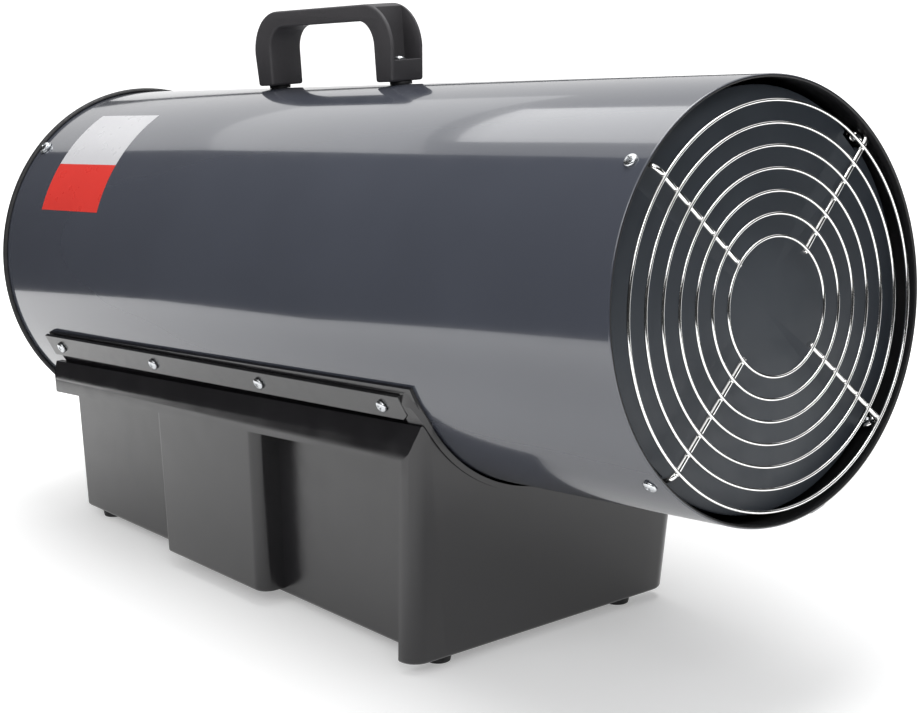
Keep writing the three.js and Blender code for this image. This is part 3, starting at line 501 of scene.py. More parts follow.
def new_piece(name, bm, place, material, sharp=35.0):
    """A mesh object from a bmesh drawn in millimetres, faces out, smooth up to an angle."""
    bmesh.ops.remove_doubles(bm, verts=bm.verts, dist=1e-4)
    bmesh.ops.recalc_face_normals(bm, faces=bm.faces)
    mesh = bpy.data.meshes.new(name)
    bm.to_mesh(mesh)
    bm.free()
    mesh.transform(place)
    obj = add_object(name, mesh)
    if material:
        mesh.materials.append(finish(material))
    smooth(obj, sharp)
    return obj


def turned(name, profile, material, place, segments=96, sharp=35.0, within=Matrix()):
    """A piece turned about X, which within turns or shifts before place does."""
    bm = bmesh.new()
    add_turned(bm, profile, segments, within)
    return new_piece(name, bm, place, material, sharp)


def prism(name, outline, ends, to_point, material, place, sharp=35.0):
    """A piece of one outline between two depths."""
    bm = bmesh.new()
    add_prism(bm, outline, *ends, to_point)
    return new_piece(name, bm, place, material, sharp)


def box(name, low, high, material, place, sharp=35.0, within=Matrix()):
    """A box as a piece."""
    bm = bmesh.new()
    add_box(bm, low, high, within)
    return new_piece(name, bm, place, material, sharp)


def smooth(obj, sharp=35.0):
    """Smooth shading, with sharp edges past an angle in degrees."""
    obj.data.shade_smooth()
    obj.data.set_sharp_from_angle(angle=math.radians(sharp))


def bake(obj):
    """Turns what an object shows, with its modifiers, into its plain mesh."""
    bpy.context.view_layer.update()
    graph = bpy.context.evaluated_depsgraph_get()
    mesh = bpy.data.meshes.new_from_object(obj.evaluated_get(graph), depsgraph=graph)
    old = obj.data
    obj.modifiers.clear()
    obj.data = mesh
    bpy.data.meshes.remove(old)
    return obj


def carve(obj, tools, operation="DIFFERENCE"):
    """Cuts, joins or intersects an object with tools, which are used up."""
    for tool in tools:
        step = obj.modifiers.new("carve", "BOOLEAN")
        step.operation = operation
        step.solver = "MANIFOLD"
        step.object = tool
    bake(obj)
    for tool in tools:
        drop_tool(tool)
    return obj


def bevel(obj, width, segments=2, angle=35.0):
    """Rounds an object's edges by a width in millimetres."""
    step = obj.modifiers.new("edges", "BEVEL")
    step.width = width * MM
    step.segments = segments
    step.limit_method = "ANGLE"
    step.angle_limit = math.radians(angle)
    step.use_clamp_overlap = True
    step.harden_normals = True
    return obj


def set_piece(obj, body, slot, *nodes):
    """Puts a finished piece on its body, in place of CAD nodes. The slot is not used."""
    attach(obj, body)
    if nodes:
        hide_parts(*nodes)


# ------------------------------------------------------------------ geometry nodes
class TreeMaker:
    """A geometry node tree with named inputs that ends in Realize Instances and Set Material."""

    def __init__(self, name, inputs, takes_geometry):
        self.tree = bpy.data.node_groups.new(name, "GeometryNodeTree")
        face = self.tree.interface
        if takes_geometry:
            face.new_socket("Geometry", in_out="INPUT", socket_type="NodeSocketGeometry")
        for label, kind in inputs:
            face.new_socket(label, in_out="INPUT", socket_type=f"NodeSocket{kind}")
        face.new_socket("Finish", in_out="INPUT", socket_type="NodeSocketMaterial")
        face.new_socket("Geometry", in_out="OUTPUT", socket_type="NodeSocketGeometry")
        self.given = self.tree.nodes.new("NodeGroupInput").outputs

    def add(self, kind, inputs=None, **settings):
        return add_node(self.tree, kind, inputs, **settings)

    def close(self, geometry):
        """Realises, smooths and paints the result."""
        real = self.add("GeometryNodeRealizeInstances", {0: geometry})
        soft = self.add("GeometryNodeSetShadeSmooth", {0: real.outputs[0]})
        painted = self.add("GeometryNodeSetMaterial",
                           {0: soft.outputs[0], "Material": self.given["Finish"]})
        end = self.tree.nodes.new("NodeGroupOutput")
        self.tree.links.new(painted.outputs[0], end.inputs[0])
        return self.tree


def ring_tree():
    """Concentric wire rings about Z, evenly spaced between two radii."""
    maker = TreeMaker("Concentric Rings", (
        ("Rings", "Int"), ("Inner Radius", "Float"), ("Outer Radius", "Float"),
        ("Wire Radius", "Float"), ("Facets", "Int")), False)
    given = maker.given
    points = maker.add("GeometryNodePoints", {"Count": given["Rings"]})
    index = maker.add("GeometryNodeInputIndex")
    last = maker.add("ShaderNodeMath", {0: given["Rings"], 1: 1.0}, operation="SUBTRACT")
    radius = maker.add("ShaderNodeMapRange", {
        "Value": index.outputs[0], "From Min": 0.0, "From Max": last.outputs[0],
        "To Min": given["Inner Radius"], "To Max": given["Outer Radius"]})
    loop = maker.add("GeometryNodeCurvePrimitiveCircle", {
        "Resolution": given["Facets"], "Radius": 1.0})
    placed = maker.add("GeometryNodeInstanceOnPoints", {
        "Points": points.outputs[0], "Instance": loop.outputs[0],
        "Scale": radius.outputs["Result"]})
    curves = maker.add("GeometryNodeRealizeInstances", {0: placed.outputs[0]})
    section = maker.add("GeometryNodeCurvePrimitiveCircle", {
        "Resolution": 14, "Radius": given["Wire Radius"]})
    tube = maker.add("GeometryNodeCurveToMesh", {
        "Curve": curves.outputs[0], "Profile Curve": section.outputs[0]})
    return maker.close(tube.outputs[0])


def wire_tree():
    """A round wire along each run of edges."""
    maker = TreeMaker("Wire Along Edges", (("Wire Radius", "Float"), ("Sides", "Int")), True)
    given = maker.given
    curves = maker.add("GeometryNodeMeshToCurve", {0: given["Geometry"]})
    section = maker.add("GeometryNodeCurvePrimitiveCircle", {
        "Resolution": given["Sides"], "Radius": given["Wire Radius"]})
    tube = maker.add("GeometryNodeCurveToMesh", {
        "Curve": curves.outputs[0], "Profile Curve": section.outputs[0], "Fill Caps": True})
    return maker.close(tube.outputs[0])


def facing_tree():
    """A template set on every point, turned along its facing and spun by its twist."""
    maker = TreeMaker("Set Along Facing", (("Template", "Object"), ("Size", "Float")), True)
    given = maker.given
    template = maker.add("GeometryNodeObjectInfo", {"Object": given["Template"]})
    facing = maker.add("GeometryNodeInputNamedAttribute", {"Name": "facing"},
                       data_type="FLOAT_VECTOR")
    twist = maker.add("GeometryNodeInputNamedAttribute", {"Name": "twist"}, data_type="FLOAT")
    aimed = maker.add("FunctionNodeAlignRotationToVector", {"Vector": facing.outputs[0]},
                      axis="Z")
    spin = maker.add("FunctionNodeAxisAngleToRotation", {
        "Axis": (0, 0, 1), "Angle": twist.outputs[0]})
    turned = maker.add("FunctionNodeRotateRotation", {
        "Rotation": aimed.outputs[0], "Rotate By": spin.outputs[0]}, rotation_space="LOCAL")
    placed = maker.add("GeometryNodeInstanceOnPoints", {
        "Points": given["Geometry"], "Instance": template.outputs["Geometry"],
        "Rotation": turned.outputs[0], "Scale": given["Size"]})
    return maker.close(placed.outputs[0])


def copies_tree():
    """A template copied evenly round X."""
    maker = TreeMaker("Copies Round X", (("Template", "Object"), ("Copies", "Int")), False)
    given = maker.given
    template = maker.add("GeometryNodeObjectInfo", {"Object": given["Template"]})
    points = maker.add("GeometryNodePoints", {"Count": given["Copies"]})
    index = maker.add("GeometryNodeInputIndex")
    share = maker.add("ShaderNodeMath", {0: index.outputs[0], 1: given["Copies"]},
                      operation="DIVIDE")
    angle = maker.add("ShaderNodeMath", {0: share.outputs[0], 1: 2 * math.pi},
                      operation="MULTIPLY")
    turn = maker.add("FunctionNodeAxisAngleToRotation", {
        "Axis": (1, 0, 0), "Angle": angle.outputs[0]})
    placed = maker.add("GeometryNodeInstanceOnPoints", {
        "Points": points.outputs[0], "Instance": template.outputs["Geometry"],
        "Rotation": turn.outputs[0]})
    return maker.close(placed.outputs[0])


def run_tree(obj, tree, values):
    """Runs a tree on an object with named values and keeps its result as a plain mesh."""
    step = obj.modifiers.new(tree.name, "NODES")
    step.node_group = tree
    for item in tree.interface.items_tree:
        if item.in_out == "INPUT" and item.name in values:
            step[item.identifier] = values[item.name]
    return bake(obj)


def tree_named(name, maker):
    """A node tree that is built once."""
    return bpy.data.node_groups.get(name) or maker()


def points_object(name, places, facings, seed):
    """A mesh of loose points with facing and twist attributes, in metres."""
    chance = random.Random(seed)
    mesh = bpy.data.meshes.new(name)
    mesh.from_pydata([tuple(p) for p in places], [], [])
    mesh.attributes.new("facing", "FLOAT_VECTOR", "POINT")
    mesh.attributes.new("twist", "FLOAT", "POINT")
    for i, way in enumerate(facings):
        mesh.attributes["facing"].data[i].vector = way
        mesh.attributes["twist"].data[i].value = chance.uniform(0, math.pi / 2)
    return add_object(name, mesh)


def join_meshes(obj, others):
    """Adds the faces of other objects to an object's mesh, each with its own material."""
    bm = bmesh.new()
    bm.from_mesh(obj.data)
    for other in others:
        offset = len(obj.data.materials)
        for material in other.data.materials:
            obj.data.materials.append(material)
        before = len(bm.faces)
        bm.from_mesh(other.data)
        bm.faces.ensure_lookup_table()
        for face in bm.faces[before:]:
            face.material_index += offset
        drop_tool(other)
    bm.to_mesh(obj.data)
    bm.free()
    return obj


# ------------------------------------------------------------------ shared places
def wall_reach(angle, drop, inset):
    """How far a spoke runs from its guard's centre to stop an inset short of the casing's wall."""
    radius = INNER_WALL - inset
    along = -drop * math.sin(angle)
    return -along + math.sqrt(along * along + radius * radius - drop * drop)


def strip_place(side):
    """Carries a strip drawn flat, x along it and z square to it, to its side of the casing."""
    middle = Matrix.Translation(((STRIP["rear"] + STRIP["front"]) / 2, 0, 0))
    skew = Matrix.Rotation(side * math.radians(STRIP["skew"]), 4, "Z")
    lean = Matrix.Rotation(-side * math.radians(90 + STRIP["angle"]), 4, "X")
    return lean @ middle @ skew @ middle.inverted()


def casing_point(along, angle, radius):
    """A point of the casing's frame given round its axis."""
    return Vector((along, radius * math.cos(angle), radius * math.sin(angle)))


def paint_faces(obj, material, wanted):
    """Gives a second finish to the faces whose centre, in the casing's frame, is wanted."""
    obj.data.materials.append(finish(material))
    index = len(obj.data.materials) - 1
    back = CASING_PLACE.inverted()
    for face in obj.data.polygons:
        centre = back @ face.center
        if wanted(centre.x, centre.yz.length):
            face.material_index = index


def copies_round_x(name, template, copies, material):
    """A template, drawn in metres about the X axis, copied evenly round it."""
    obj = add_object(name)
    run_tree(obj, tree_named("Copies Round X", copies_tree), {
        "Template": template, "Copies": copies, "Finish": finish(material)})
    drop_tool(template)
    return obj


# ------------------------------------------------------------------ operators
class HEATER_OT_finishes(Operator):
    """Make every material"""

    bl_idname = "heater.finishes"
    bl_label = "Finishes"

    def execute(self, context):
        for name, recipe in FINISHES.items():
            made_finish(name, recipe, context.scene.heater_colours)
        for name, (colour, stretch) in SHEET_METALS.items():
            sheet_finish(name, colour, stretch)
        scorch(finish("scorched_steel"))
        return {"FINISHED"}


class HEATER_OT_casing(Operator):
    """Build the enamelled tube with its hem, lap seam and rear edge trim"""

    bl_idname = "heater.casing"
    bl_label = "Casing"

    def execute(self, context):
        sizes = context.scene.heater_sizes
        radius = sizes.casing_radius / MM
        length = sizes.casing_length / MM
        sheet, (hem, drop) = radius - CASING["sheet"], CASING["hem"]
        profile = [(0, radius - 0.9), (-0.3, radius - 0.25), (-1.1, radius), (-length, radius),
                   (-length, sheet), (-hem - 0.4, sheet), (-hem, sheet - 0.3),
                   (-hem, radius - drop + 0.3), (-hem + 0.3, radius - drop),
                   (-1, radius - drop), (-0.3, radius - drop + 0.3), (0, radius - 1.6)]
        casing = turned("casing", profile, "casing_enamel", CASING_PLACE, sizes.fine_steps, 50)
        # The faces inside the sheet are made near black: painted shade inside the tube.
        paint_faces(casing, "casing_lining", lambda along, out: out < sheet + 0.05)
        steps = 12
        start, end = CASING["seam"]
        inner, outer = [], []
        for i in range(steps + 1):
            angle = math.radians(start + (end - start) * i / steps)
            lift = 0.9 * min(1, 4 * (1 - i / steps)) if i > 0 else 0.55
            inner.append(tuple(casing_point(0, angle, radius - 0.3).yz))
            outer.append(tuple(casing_point(0, angle, radius + lift).yz))
        seam = prism("casing_seam", outer + inner[::-1], (-length + 9, -1.2), along_x,
                     "casing_enamel", CASING_PLACE, 30)
        set_piece(casing, "heater", "slate_paint", "outer_casing")
        set_piece(seam, "heater", "slate_paint")
        under = radius - 1.3
        edge = [(-length + 2, under), (-length - 0.3, under), (-length - 0.3, radius + 0.3),
                (-length + 2.6, radius + 0.3), (-length + 1.8, radius + 2.6),
                (-length - 0.6, radius + 3.8), (-length - 2, radius + 2.4),
                (-length - 2.2, under - 1), (-length + 2, under - 1)]
        trim = turned("rear_rim_trim", softened(edge, 0.9, 3, True), "black_rubber",
                      CASING_PLACE, sizes.fine_steps, 50)
        set_piece(trim, "heater", "rubber", "rear_edge_trim")
        return {"FINISHED"}


class HEATER_OT_patch(Operator):
    """Lay the bare two-tone patch on the casing"""

    bl_idname = "heater.patch"
    bl_label = "Patch"

    def execute(self, context):
        radius = context.scene.heater_sizes.casing_radius / MM
        steps = 24
        for material, (start, end) in PATCH["bands"].items():
            angles = [math.radians(start + (end - start) * i / steps) for i in range(steps + 1)]
            lower, upper = ([tuple(casing_point(0, a, radius + lift).yz) for a in angles]
                            for lift in PATCH["lifts"])
            patch = prism(f"casing_{material}", upper + lower[::-1], PATCH["ends"], along_x,
                          material, CASING_PLACE, 30)
            set_piece(patch, "heater", "slate_paint")
        return {"FINISHED"}


def spoke_lines(guard, wire, spoke):
    """Each spoke's run of points, with its bend, and its eye's loop of points."""
    inward, drop = guard["inward"], guard["drop"]
    spoke_plane = guard["plane"] + inward * (wire / 2 + spoke / 2 - WELD_DEPTH)
    eye_radius = EYE_BORE + spoke / 2
    setback = guard["screws"]["along"]
    lines = []
    for degrees, screw_degrees in zip(guard["angles"], guard["screws"]["angles"]):
        angle = math.radians(degrees)

        def at(reach, along):
            return Vector((along, reach * math.cos(angle), reach * math.sin(angle) - drop))

        start = at(guard["inner"] - 2.5, spoke_plane)
        corner = at(wall_reach(angle, drop, guard["bend_inset"]), spoke_plane)
        end = at(wall_reach(angle, drop, guard["eye_inset"]),
                 setback - inward * (eye_radius + 0.2))
        before = corner + (start - corner).normalized() * guard["bend"]
        after = corner + (end - corner).normalized() * guard["bend"]
        curve = [before * (1 - t) ** 2 + corner * 2 * t * (1 - t) + after * t ** 2
                 for t in (i / 10 for i in range(11))]
        out = casing_point(0, math.radians(screw_degrees), 1)
        side = Vector((1, 0, 0)).cross(out)
        centre = Vector((setback, 0, 0)) + out * (INNER_WALL - guard["eye_inset"])
        loop = [centre + eye_radius * (math.cos(a) * Vector((1, 0, 0)) + math.sin(a) * side)
                for a in (2 * math.pi * i / 24 for i in range(24))]
        lines += [[start, *curve, end], [*loop, loop[0]]]
    return lines


def guard_mesh(name, guard, rings, wire, spoke):
    """Rings in front of four spokes that bend back along the wall and end in eyes."""
    obj = add_object(name)
    chrome = finish("guard_chrome")
    run_tree(obj, tree_named("Concentric Rings", ring_tree), {
        "Rings": rings, "Inner Radius": guard["inner"] * MM, "Outer Radius": guard["outer"] * MM,
        "Wire Radius": wire / 2 * MM, "Facets": 180, "Finish": chrome})
    plane, drop = guard["plane"], guard["drop"]
    lie = Matrix.Translation((plane * MM, 0, -drop * MM)) @ Matrix.Rotation(math.pi / 2, 4, "Y")
    obj.data.transform(METRES_TO_CASING @ lie)
    paths = bmesh.new()
    for line in spoke_lines(guard, wire, spoke):
        verts = [paths.verts.new(point) for point in line]
        for a, b in zip(verts, verts[1:]):
            paths.edges.new((a, b))
    bmesh.ops.remove_doubles(paths, verts=paths.verts, dist=1e-4)
    mesh = bpy.data.meshes.new(name + "_spokes")
    paths.to_mesh(mesh)
    paths.free()
    mesh.transform(CASING_PLACE)
    spokes = add_object(name + "_spokes", mesh)
    run_tree(spokes, tree_named("Wire Along Edges", wire_tree), {
        "Wire Radius": spoke / 2 * MM, "Sides": 16, "Finish": chrome})
    bead = bmesh.new()
    bmesh.ops.create_icosphere(bead, subdivisions=2, radius=1.0)
    bmesh.ops.scale(bead, verts=bead.verts, vec=(0.55, 0.55, 0.42))
    template = new_piece(name + "_bead", bead, Matrix.Scale(spoke * MM, 4), "guard_chrome", 60)
    step = (guard["outer"] - guard["inner"]) / (rings - 1)
    places = [
        CASING_PLACE @ (casing_point(plane + guard["inward"] * wire * 0.5, math.radians(degrees),
                                     guard["inner"] + step * i) - Vector((0, 0, drop)))
        for degrees in guard["angles"] for i in range(rings)]
    along = CASING_PLACE.to_3x3() @ Vector((1, 0, 0))
    welds = points_object(name + "_welds", places, [along] * len(places), 5)
    run_tree(welds, tree_named("Set Along Facing", facing_tree), {
        "Template": template, "Size": 1.0, "Finish": chrome})
    drop_tool(template)
    join_meshes(obj, [spokes, welds])
    smooth(obj, 50)
    return obj


class HEATER_OT_guards(Operator):
    """Weld the outlet guard and the rear guard"""

    bl_idname = "heater.guards"
    bl_label = "Guards"

    def execute(self, context):
        sizes = context.scene.heater_sizes
        for name, guard, rings, spoke, node in (
                ("outlet_wire_guard", OUTLET_GUARD, sizes.guard_rings, sizes.spoke_wire,
                 "outlet_guard"),
                ("rear_wire_guard", REAR_GUARD, sizes.rear_rings, sizes.rear_spoke_wire,
                 "rear_guard")):
            wires = guard_mesh(name, guard, rings, sizes.guard_wire / MM, spoke / MM)
            set_piece(wires, "heater", "bright_wire", node)
        return {"FINISHED"}


class HEATER_OT_deflector(Operator):
    """Press the deflector disc and its stays"""

    bl_idname = "heater.deflector"
    bl_label = "Deflector disc"

    def execute(self, context):
        plane, radius = DISC["plane"], DISC["radius"]
        pressing = [(plane, 0), (plane, radius - 3), (plane - 1, radius - 1.6),
                    (plane - 4, radius - 1.2), (plane - 4, radius - 0.1), (plane - 0.6, radius),
                    (plane + 0.8, radius - 0.5), (plane + 1.5, radius - 1.8), (plane + 1.5, 0)]
        disc = turned("deflector_disc", pressing, "disc_paint", CASING_PLACE, 192, 40)
        paint_faces(disc, "zinc_plate", lambda along, out: (
            along > plane - 0.2 and radius - 1.1 < out < radius - 0.1))
        carve(disc, [box("notch", (plane - 6, -9, radius - 4.5), (plane + 6, 9, radius + 5),
                         None, CASING_PLACE, within=about_x(math.radians(degrees)))
                     for degrees in OUTLET_SCREWS["angles"]])
        stays = bmesh.new()
        for i in range(4):
            add_box(stays, (DISC["stays"], -8, DISC["stay_radius"]),
                    (plane - 0.2, 8, DISC["stay_radius"] + 1.5),
                    Matrix.Rotation(i * math.pi / 2, 4, "X"))
        join_meshes(disc, [new_piece("stays", stays, CASING_PLACE, "disc_paint")])
        smooth(disc, 40)
        set_piece(disc, "heater", "slate_paint", "baffle_disc")
        return {"FINISHED"}


def arch_outline(steps=14):
    """The carrying handle's outline in (along, height), seen from the side."""
    foot, top, grip_bottom = 152.6, 215.2, 202.0
    half_outer, half_inner, bulge = 94.6, 73.0, 2.8
    outer_corner, inner_corner = 35.0, 20.0
    wide = half_outer + bulge
    points = [(half_outer, foot)]

    def arc(x, z, radius, start, end):
        for i in range(steps + 1):
            angle = math.radians(start + (end - start) * i / steps)
            points.append((x + radius * math.cos(angle), z + radius * math.sin(angle)))

    arc(wide - outer_corner, top - outer_corner, outer_corner, 0, 90)
    arc(-wide + outer_corner, top - outer_corner, outer_corner, 90, 180)
    points.append((-half_outer, foot))
    points.append((-half_inner, foot))
    inner_top = grip_bottom - inner_corner
    arc(-half_inner + inner_corner, inner_top, inner_corner, 180, 90)
    arc(half_inner - inner_corner, inner_top, inner_corner, 90, 0)
    points.append((half_inner, foot))
    return points


class HEATER_OT_handle(Operator):
    """Mould the carrying handle and set it on its spacers"""

    bl_idname = "heater.handle"
    bl_label = "Handle"

    def execute(self, context):
        centre = HANDLE_CENTRE
        arch = prism("carrying_handle", arch_outline(), (-16, 16),
                     lambda a, b, depth: Vector((centre + a, depth, b)), "grip_texture",
                     CASING_PLACE, 40)
        bevel(arch, 2.2, 4, 50)
        bake(arch)
        tools = []
        for side in (-1, 1):
            low, high = sorted((centre + side * 75.5, centre + side * 120))
            tools.append(box("pocket", (low, -13, 169.6), (high, 13, 240), None, CASING_PLACE))
        carve(arch, tools)
        bevel(arch, 0.5, 2, 50)
        smooth(arch, 40)
        set_piece(arch, "heater", "grey_plastic", "handle")
        bm = bmesh.new()
        for side in (-1, 1):
            ring = [(150.1, 2.4), (150.1, 9), (152.5, 9), (152.5, 2.4)]
            turn = Matrix.Translation((centre + side * HANDLE_SCREW_OFFSET, 0, 0)) @ UPRIGHT
            add_turned(bm, softened(ring, 0.4, 2, True), 40, turn)
        spacers = new_piece("handle_spacers", bm, CASING_PLACE, "black_rubber", 40)
        set_piece(spacers, "heater", "rubber", "handle_spacer_1", "handle_spacer_2")
        return {"FINISHED"}


# ------------------------------------------------------------------ base
def front_at(height):
    """Where the front wall stands at a height."""
    return BASE["front"] + BASE["front_lean"] * (height - BASE["floor"])


def side_at(half, height):
    """Half the width between drafted walls at a height."""
    return half + BASE["draft"] * (height - BASE["floor"])


def tapered(name, outline, bottom, top, edge):
    """A drafted block; outline(height, draw_in) gives its plan, and its foot is rounded."""
    sections = []
    steps = 4 if edge > 0 else 0
    for i in range(steps):
        angle = math.pi / 2 * i / steps
        draw_in = edge * (1 - math.sin(angle))
        height = bottom + edge * (1 - math.cos(angle))
        sections.append((outline(height, draw_in), height))
    sections += [(outline(bottom + edge, 0.0), bottom + edge), (outline(top, 0.0), top)]
    bm = bmesh.new()
    add_loft(bm, sections)
    return new_piece(name, bm, STAND_PLACE, "base_moulding", 30)


def base_body(rear, half, inset, front_radius):
    """The base's body between its floor and its top, drawn in by an inset."""
    def outline(height, more):
        width = side_at(half, height) - inset - more
        return rounded_rectangle(rear + inset + more, front_at(height) - inset - more, width,
                                 BASE["rear_radius"], max(front_radius - inset, 1.0))
    edge = BASE["edge"] if inset == 0 else 0.0
    return tapered("body", outline, BASE["floor"] + inset, BASE["top"], edge)


def middle_block(inset):
    """The raised middle block on both sides, drawn in by an inset."""
    def outline(height, more):
        return rounded_rectangle(
            BLOCK["rear"] + BLOCK["rear_lean"] * height + inset,
            BLOCK["front"] + BLOCK["front_lean"] * height - inset,
            side_at(BASE["half"], height) - inset - more, BLOCK["rear_radius"],
            max(BLOCK["front_radius"] - inset, 1.0))
    edge = BASE["edge"] if inset == 0 else 0.0
    return tapered("block", outline, BLOCK["bottom"] + inset, BLOCK["top"], edge)


def cap_section(inset):
    """The limit of the base's top, which follows the casing, drawn in by an inset."""
    right = [(y - inset, z - (inset if i == len(CAP) - 1 else 0)) for i, (y, z) in enumerate(CAP)]
    half = right[::-1] + [(200, CAP[0][1]), (200, -400)]
    outline = half + [(-y, z) for y, z in reversed(half)]
    return prism("cap", outline, (-900, 50), along_x, "base_moulding", CASING_PLACE, 30)


def above_shoulder(inset):
    """Everything between the shoulder's foot and the casing's axis."""
    return box("above", (-900, -200, BASE["shoulder_bottom"] + inset), (50, 200, 0),
               "base_moulding", CASING_PLACE)


def ahead_of_pocket(inset):
    """Everything ahead of the side pockets' leaning front wall."""
    bm = bmesh.new()
    sections = []
    for height in (0, BASE["top"] + 30):
        back = front_at(height) - BASE["frame"] + inset
        sections.append((rounded_rectangle(back, 0, 200, 1, 1, 1), height))
    add_loft(bm, sections)
    return new_piece("ahead", bm, STAND_PLACE, "base_moulding")


def base_form(inset):
    """The base's outer form, drawn in by an inset."""
    flush = above_shoulder(inset)
    carve(flush, [ahead_of_pocket(inset)], "UNION")
    wide = base_body(BASE["shoulder_rear"], BASE["half"], inset, BASE["front_radius"])
    carve(flush, [wide], "INTERSECT")
    form = base_body(BASE["rear"], BASE["recess_half"], inset, BASE["recess_front_radius"])
    carve(form, [middle_block(inset), flush], "UNION")
    carve(form, [cap_section(inset)], "INTERSECT")
    return form


def cradle_lip():
    """The thin lip that follows the casing's arc at the front."""
    rear, front, outer = LIP["rear"], LIP["front"], CRADLE + LIP["thickness"]
    ring = [(rear, CRADLE), (rear, outer), (front, outer), (front, CRADLE)]
    lip = turned("lip", ring, "base_moulding", CASING_PLACE, 256)
    proud = base_body(BASE["rear"], BASE["half"], 0.0, BASE["front_radius"])
    proud.data.transform(Matrix.Translation((LIP["proud"] * MM, 0, 0)))
    carve(lip, [proud], "INTERSECT")
    return carve(lip, [ahead_of_pocket(0.0)], "INTERSECT")


def side_flange(side, steps=10):
    """The flange that stands between the casing and a strip."""
    angles = [math.radians(FLANGE["start"] + FLANGE["spread"] * i / steps)
              for i in range(steps + 1)]
    outline = [(side * radius * math.cos(a), -radius * math.sin(a))
               for radius, run in ((FLANGE["outer"], angles), (FLANGE["inner"], angles[::-1]))
               for a in run]
    return prism("flange", outline, FLANGE["ends"], along_x, "base_moulding", CASING_PLACE)


def base_holes():
    """The holes for the controls on the rear wall and for the feet's stems."""
    bm = bmesh.new()
    start, end = BASE["rear"] - 5, BASE["rear"] + BASE["wall"] + 5
    for control, radius in CONTROL_HOLES.items():
        place = Matrix.Translation((0, CONTROLS[control], PANEL_HEIGHT))
        add_turned(bm, rod(start, end, radius), 48, place)
    middle, (half, tall) = CONTROLS["rocker"], SWITCH_HOLE
    add_box(bm, (start, middle - half, PANEL_HEIGHT - tall),
            (end, middle + half, PANEL_HEIGHT + tall))
    for x, y in FOOT_PLACES:
        add_turned(bm, rod(0, 20, STEM_HOLE), 24, Matrix.Translation((x, y, 0)) @ UPRIGHT)
    return new_piece("holes", bm, STAND_PLACE, None)


def strip_bar(side, margin):
    """The flat bar of a strip, its lower front corner cut off, grown all round by a margin."""
    half = STRIP["width"] / 2 + margin
    back, ahead = STRIP["rear"] - margin, STRIP["front"] + margin
    outline = [(back, -side * half), (ahead, -side * half),
               (ahead, side * (half - STRIP["corner_height"])),
               (ahead - STRIP["corner_length"], side * half), (back, side * half)]
    place = strip_place(side)
    return prism("bar", outline,
                 (STRIP["inner"] - margin, STRIP["inner"] + STRIP["thickness"] + margin),
                 lambda a, b, depth: place @ Vector((a, b, depth)), "strip_paint",
                 CASING_PLACE, 30)


class HEATER_OT_base(Operator):
    """Mould the base with its recesses, cradle and lip"""

    bl_idname = "heater.base"
    bl_label = "Base"

    def execute(self, context):
        base = base_form(0.0)
        carve(base, [base_form(BASE["wall"]),
                     turned("saddle", rod(-900, 50, CRADLE), None, CASING_PLACE, 256)])
        carve(base, [cradle_lip(), side_flange(-1), side_flange(1)], "UNION")
        carve(base, [strip_bar(-1, 0.2), strip_bar(1, 0.2), base_holes()])
        base.name = "moulded_base"
        bevel(base, 0.6, 3, 40)
        smooth(base, 30)
        set_piece(base, "heater", "black_plastic", "base_shell")
        return {"FINISHED"}


class HEATER_OT_strips(Operator):
    """Fit the clamping strips along both sides"""

    bl_idname = "heater.strips"
    bl_label = "Strips"

    def execute(self, context):
        for name, side in STRIP_SIDES.items():
            bar = strip_bar(side, 0.0)
            bar.name = f"{name}_clamping_strip"
            bevel(bar, 0.5, 3)
            set_piece(bar, "heater", "black_bar", f"{name}_strip")
        return {"FINISHED"}


def screw_template(washer):
    """A pan-head screw with a cross recess, its seat at z = 0, with or without a washer."""
    rim = [(0, 6.0), (0.15, 6.2), (washer - 0.15, 6.2), (washer, 6.0)] if washer > 0 else []
    head = [(0, 4.85), (0.25, 5.0), (1.1, 5.0), (1.8, 4.6), (2.35, 3.8), (2.7, 2.5), (2.8, 0)]
    shank = [(-9, 0), (-7, 1.9), (0, 1.9)]
    raised = [(washer + along, radius) for along, radius in head]
    template = turned("screw_template", shank + rim + raised, "zinc_plate", TO_METRES, 40, 40,
                      UPRIGHT)
    cross = [(-2.7, washer + 3.2), (-0.8, washer + 0.9), (0.8, washer + 0.9),
             (2.7, washer + 3.2)]
    tools = []
    for turn in (0, math.pi / 2):
        spin = Matrix.Rotation(turn, 4, "Z")
        tools.append(prism("cross", cross, (-0.55, 0.55),
                           lambda a, b, depth: spin @ Vector((a, depth, b)), "zinc_plate",
                           TO_METRES))
    carve(template, tools)
    smooth(template, 35)
    return template


def screw_places():
    """Each group of screws: its washer and its (point, facing) pairs in the casing's frame."""
    def round_casing(screws):
        return [(casing_point(screws["along"], math.radians(a), SCREW_SEAT),
                 casing_point(0, math.radians(a), 1)) for a in screws["angles"]]

    up = Vector((0, 0, 1))
    groups = {
        "outlet": (0.0, round_casing(OUTLET_SCREWS)),
        "rear": (1.2, round_casing(REAR_SCREWS)),
        "handle": (0.0, [(Vector((HANDLE_CENTRE + side * HANDLE_SCREW_OFFSET, 0, 169.9)), up)
                         for side in (-1, 1)]),
    }
    seat = STRIP["inner"] + STRIP["thickness"] + 0.3
    for name, side in STRIP_SIDES.items():
        place = strip_place(side)
        facing = place.to_3x3() @ up
        groups[f"{name}_strip"] = (
            0.0, [(place @ Vector((along, 0, seat)), facing) for along in STRIP_SCREWS])
    return groups


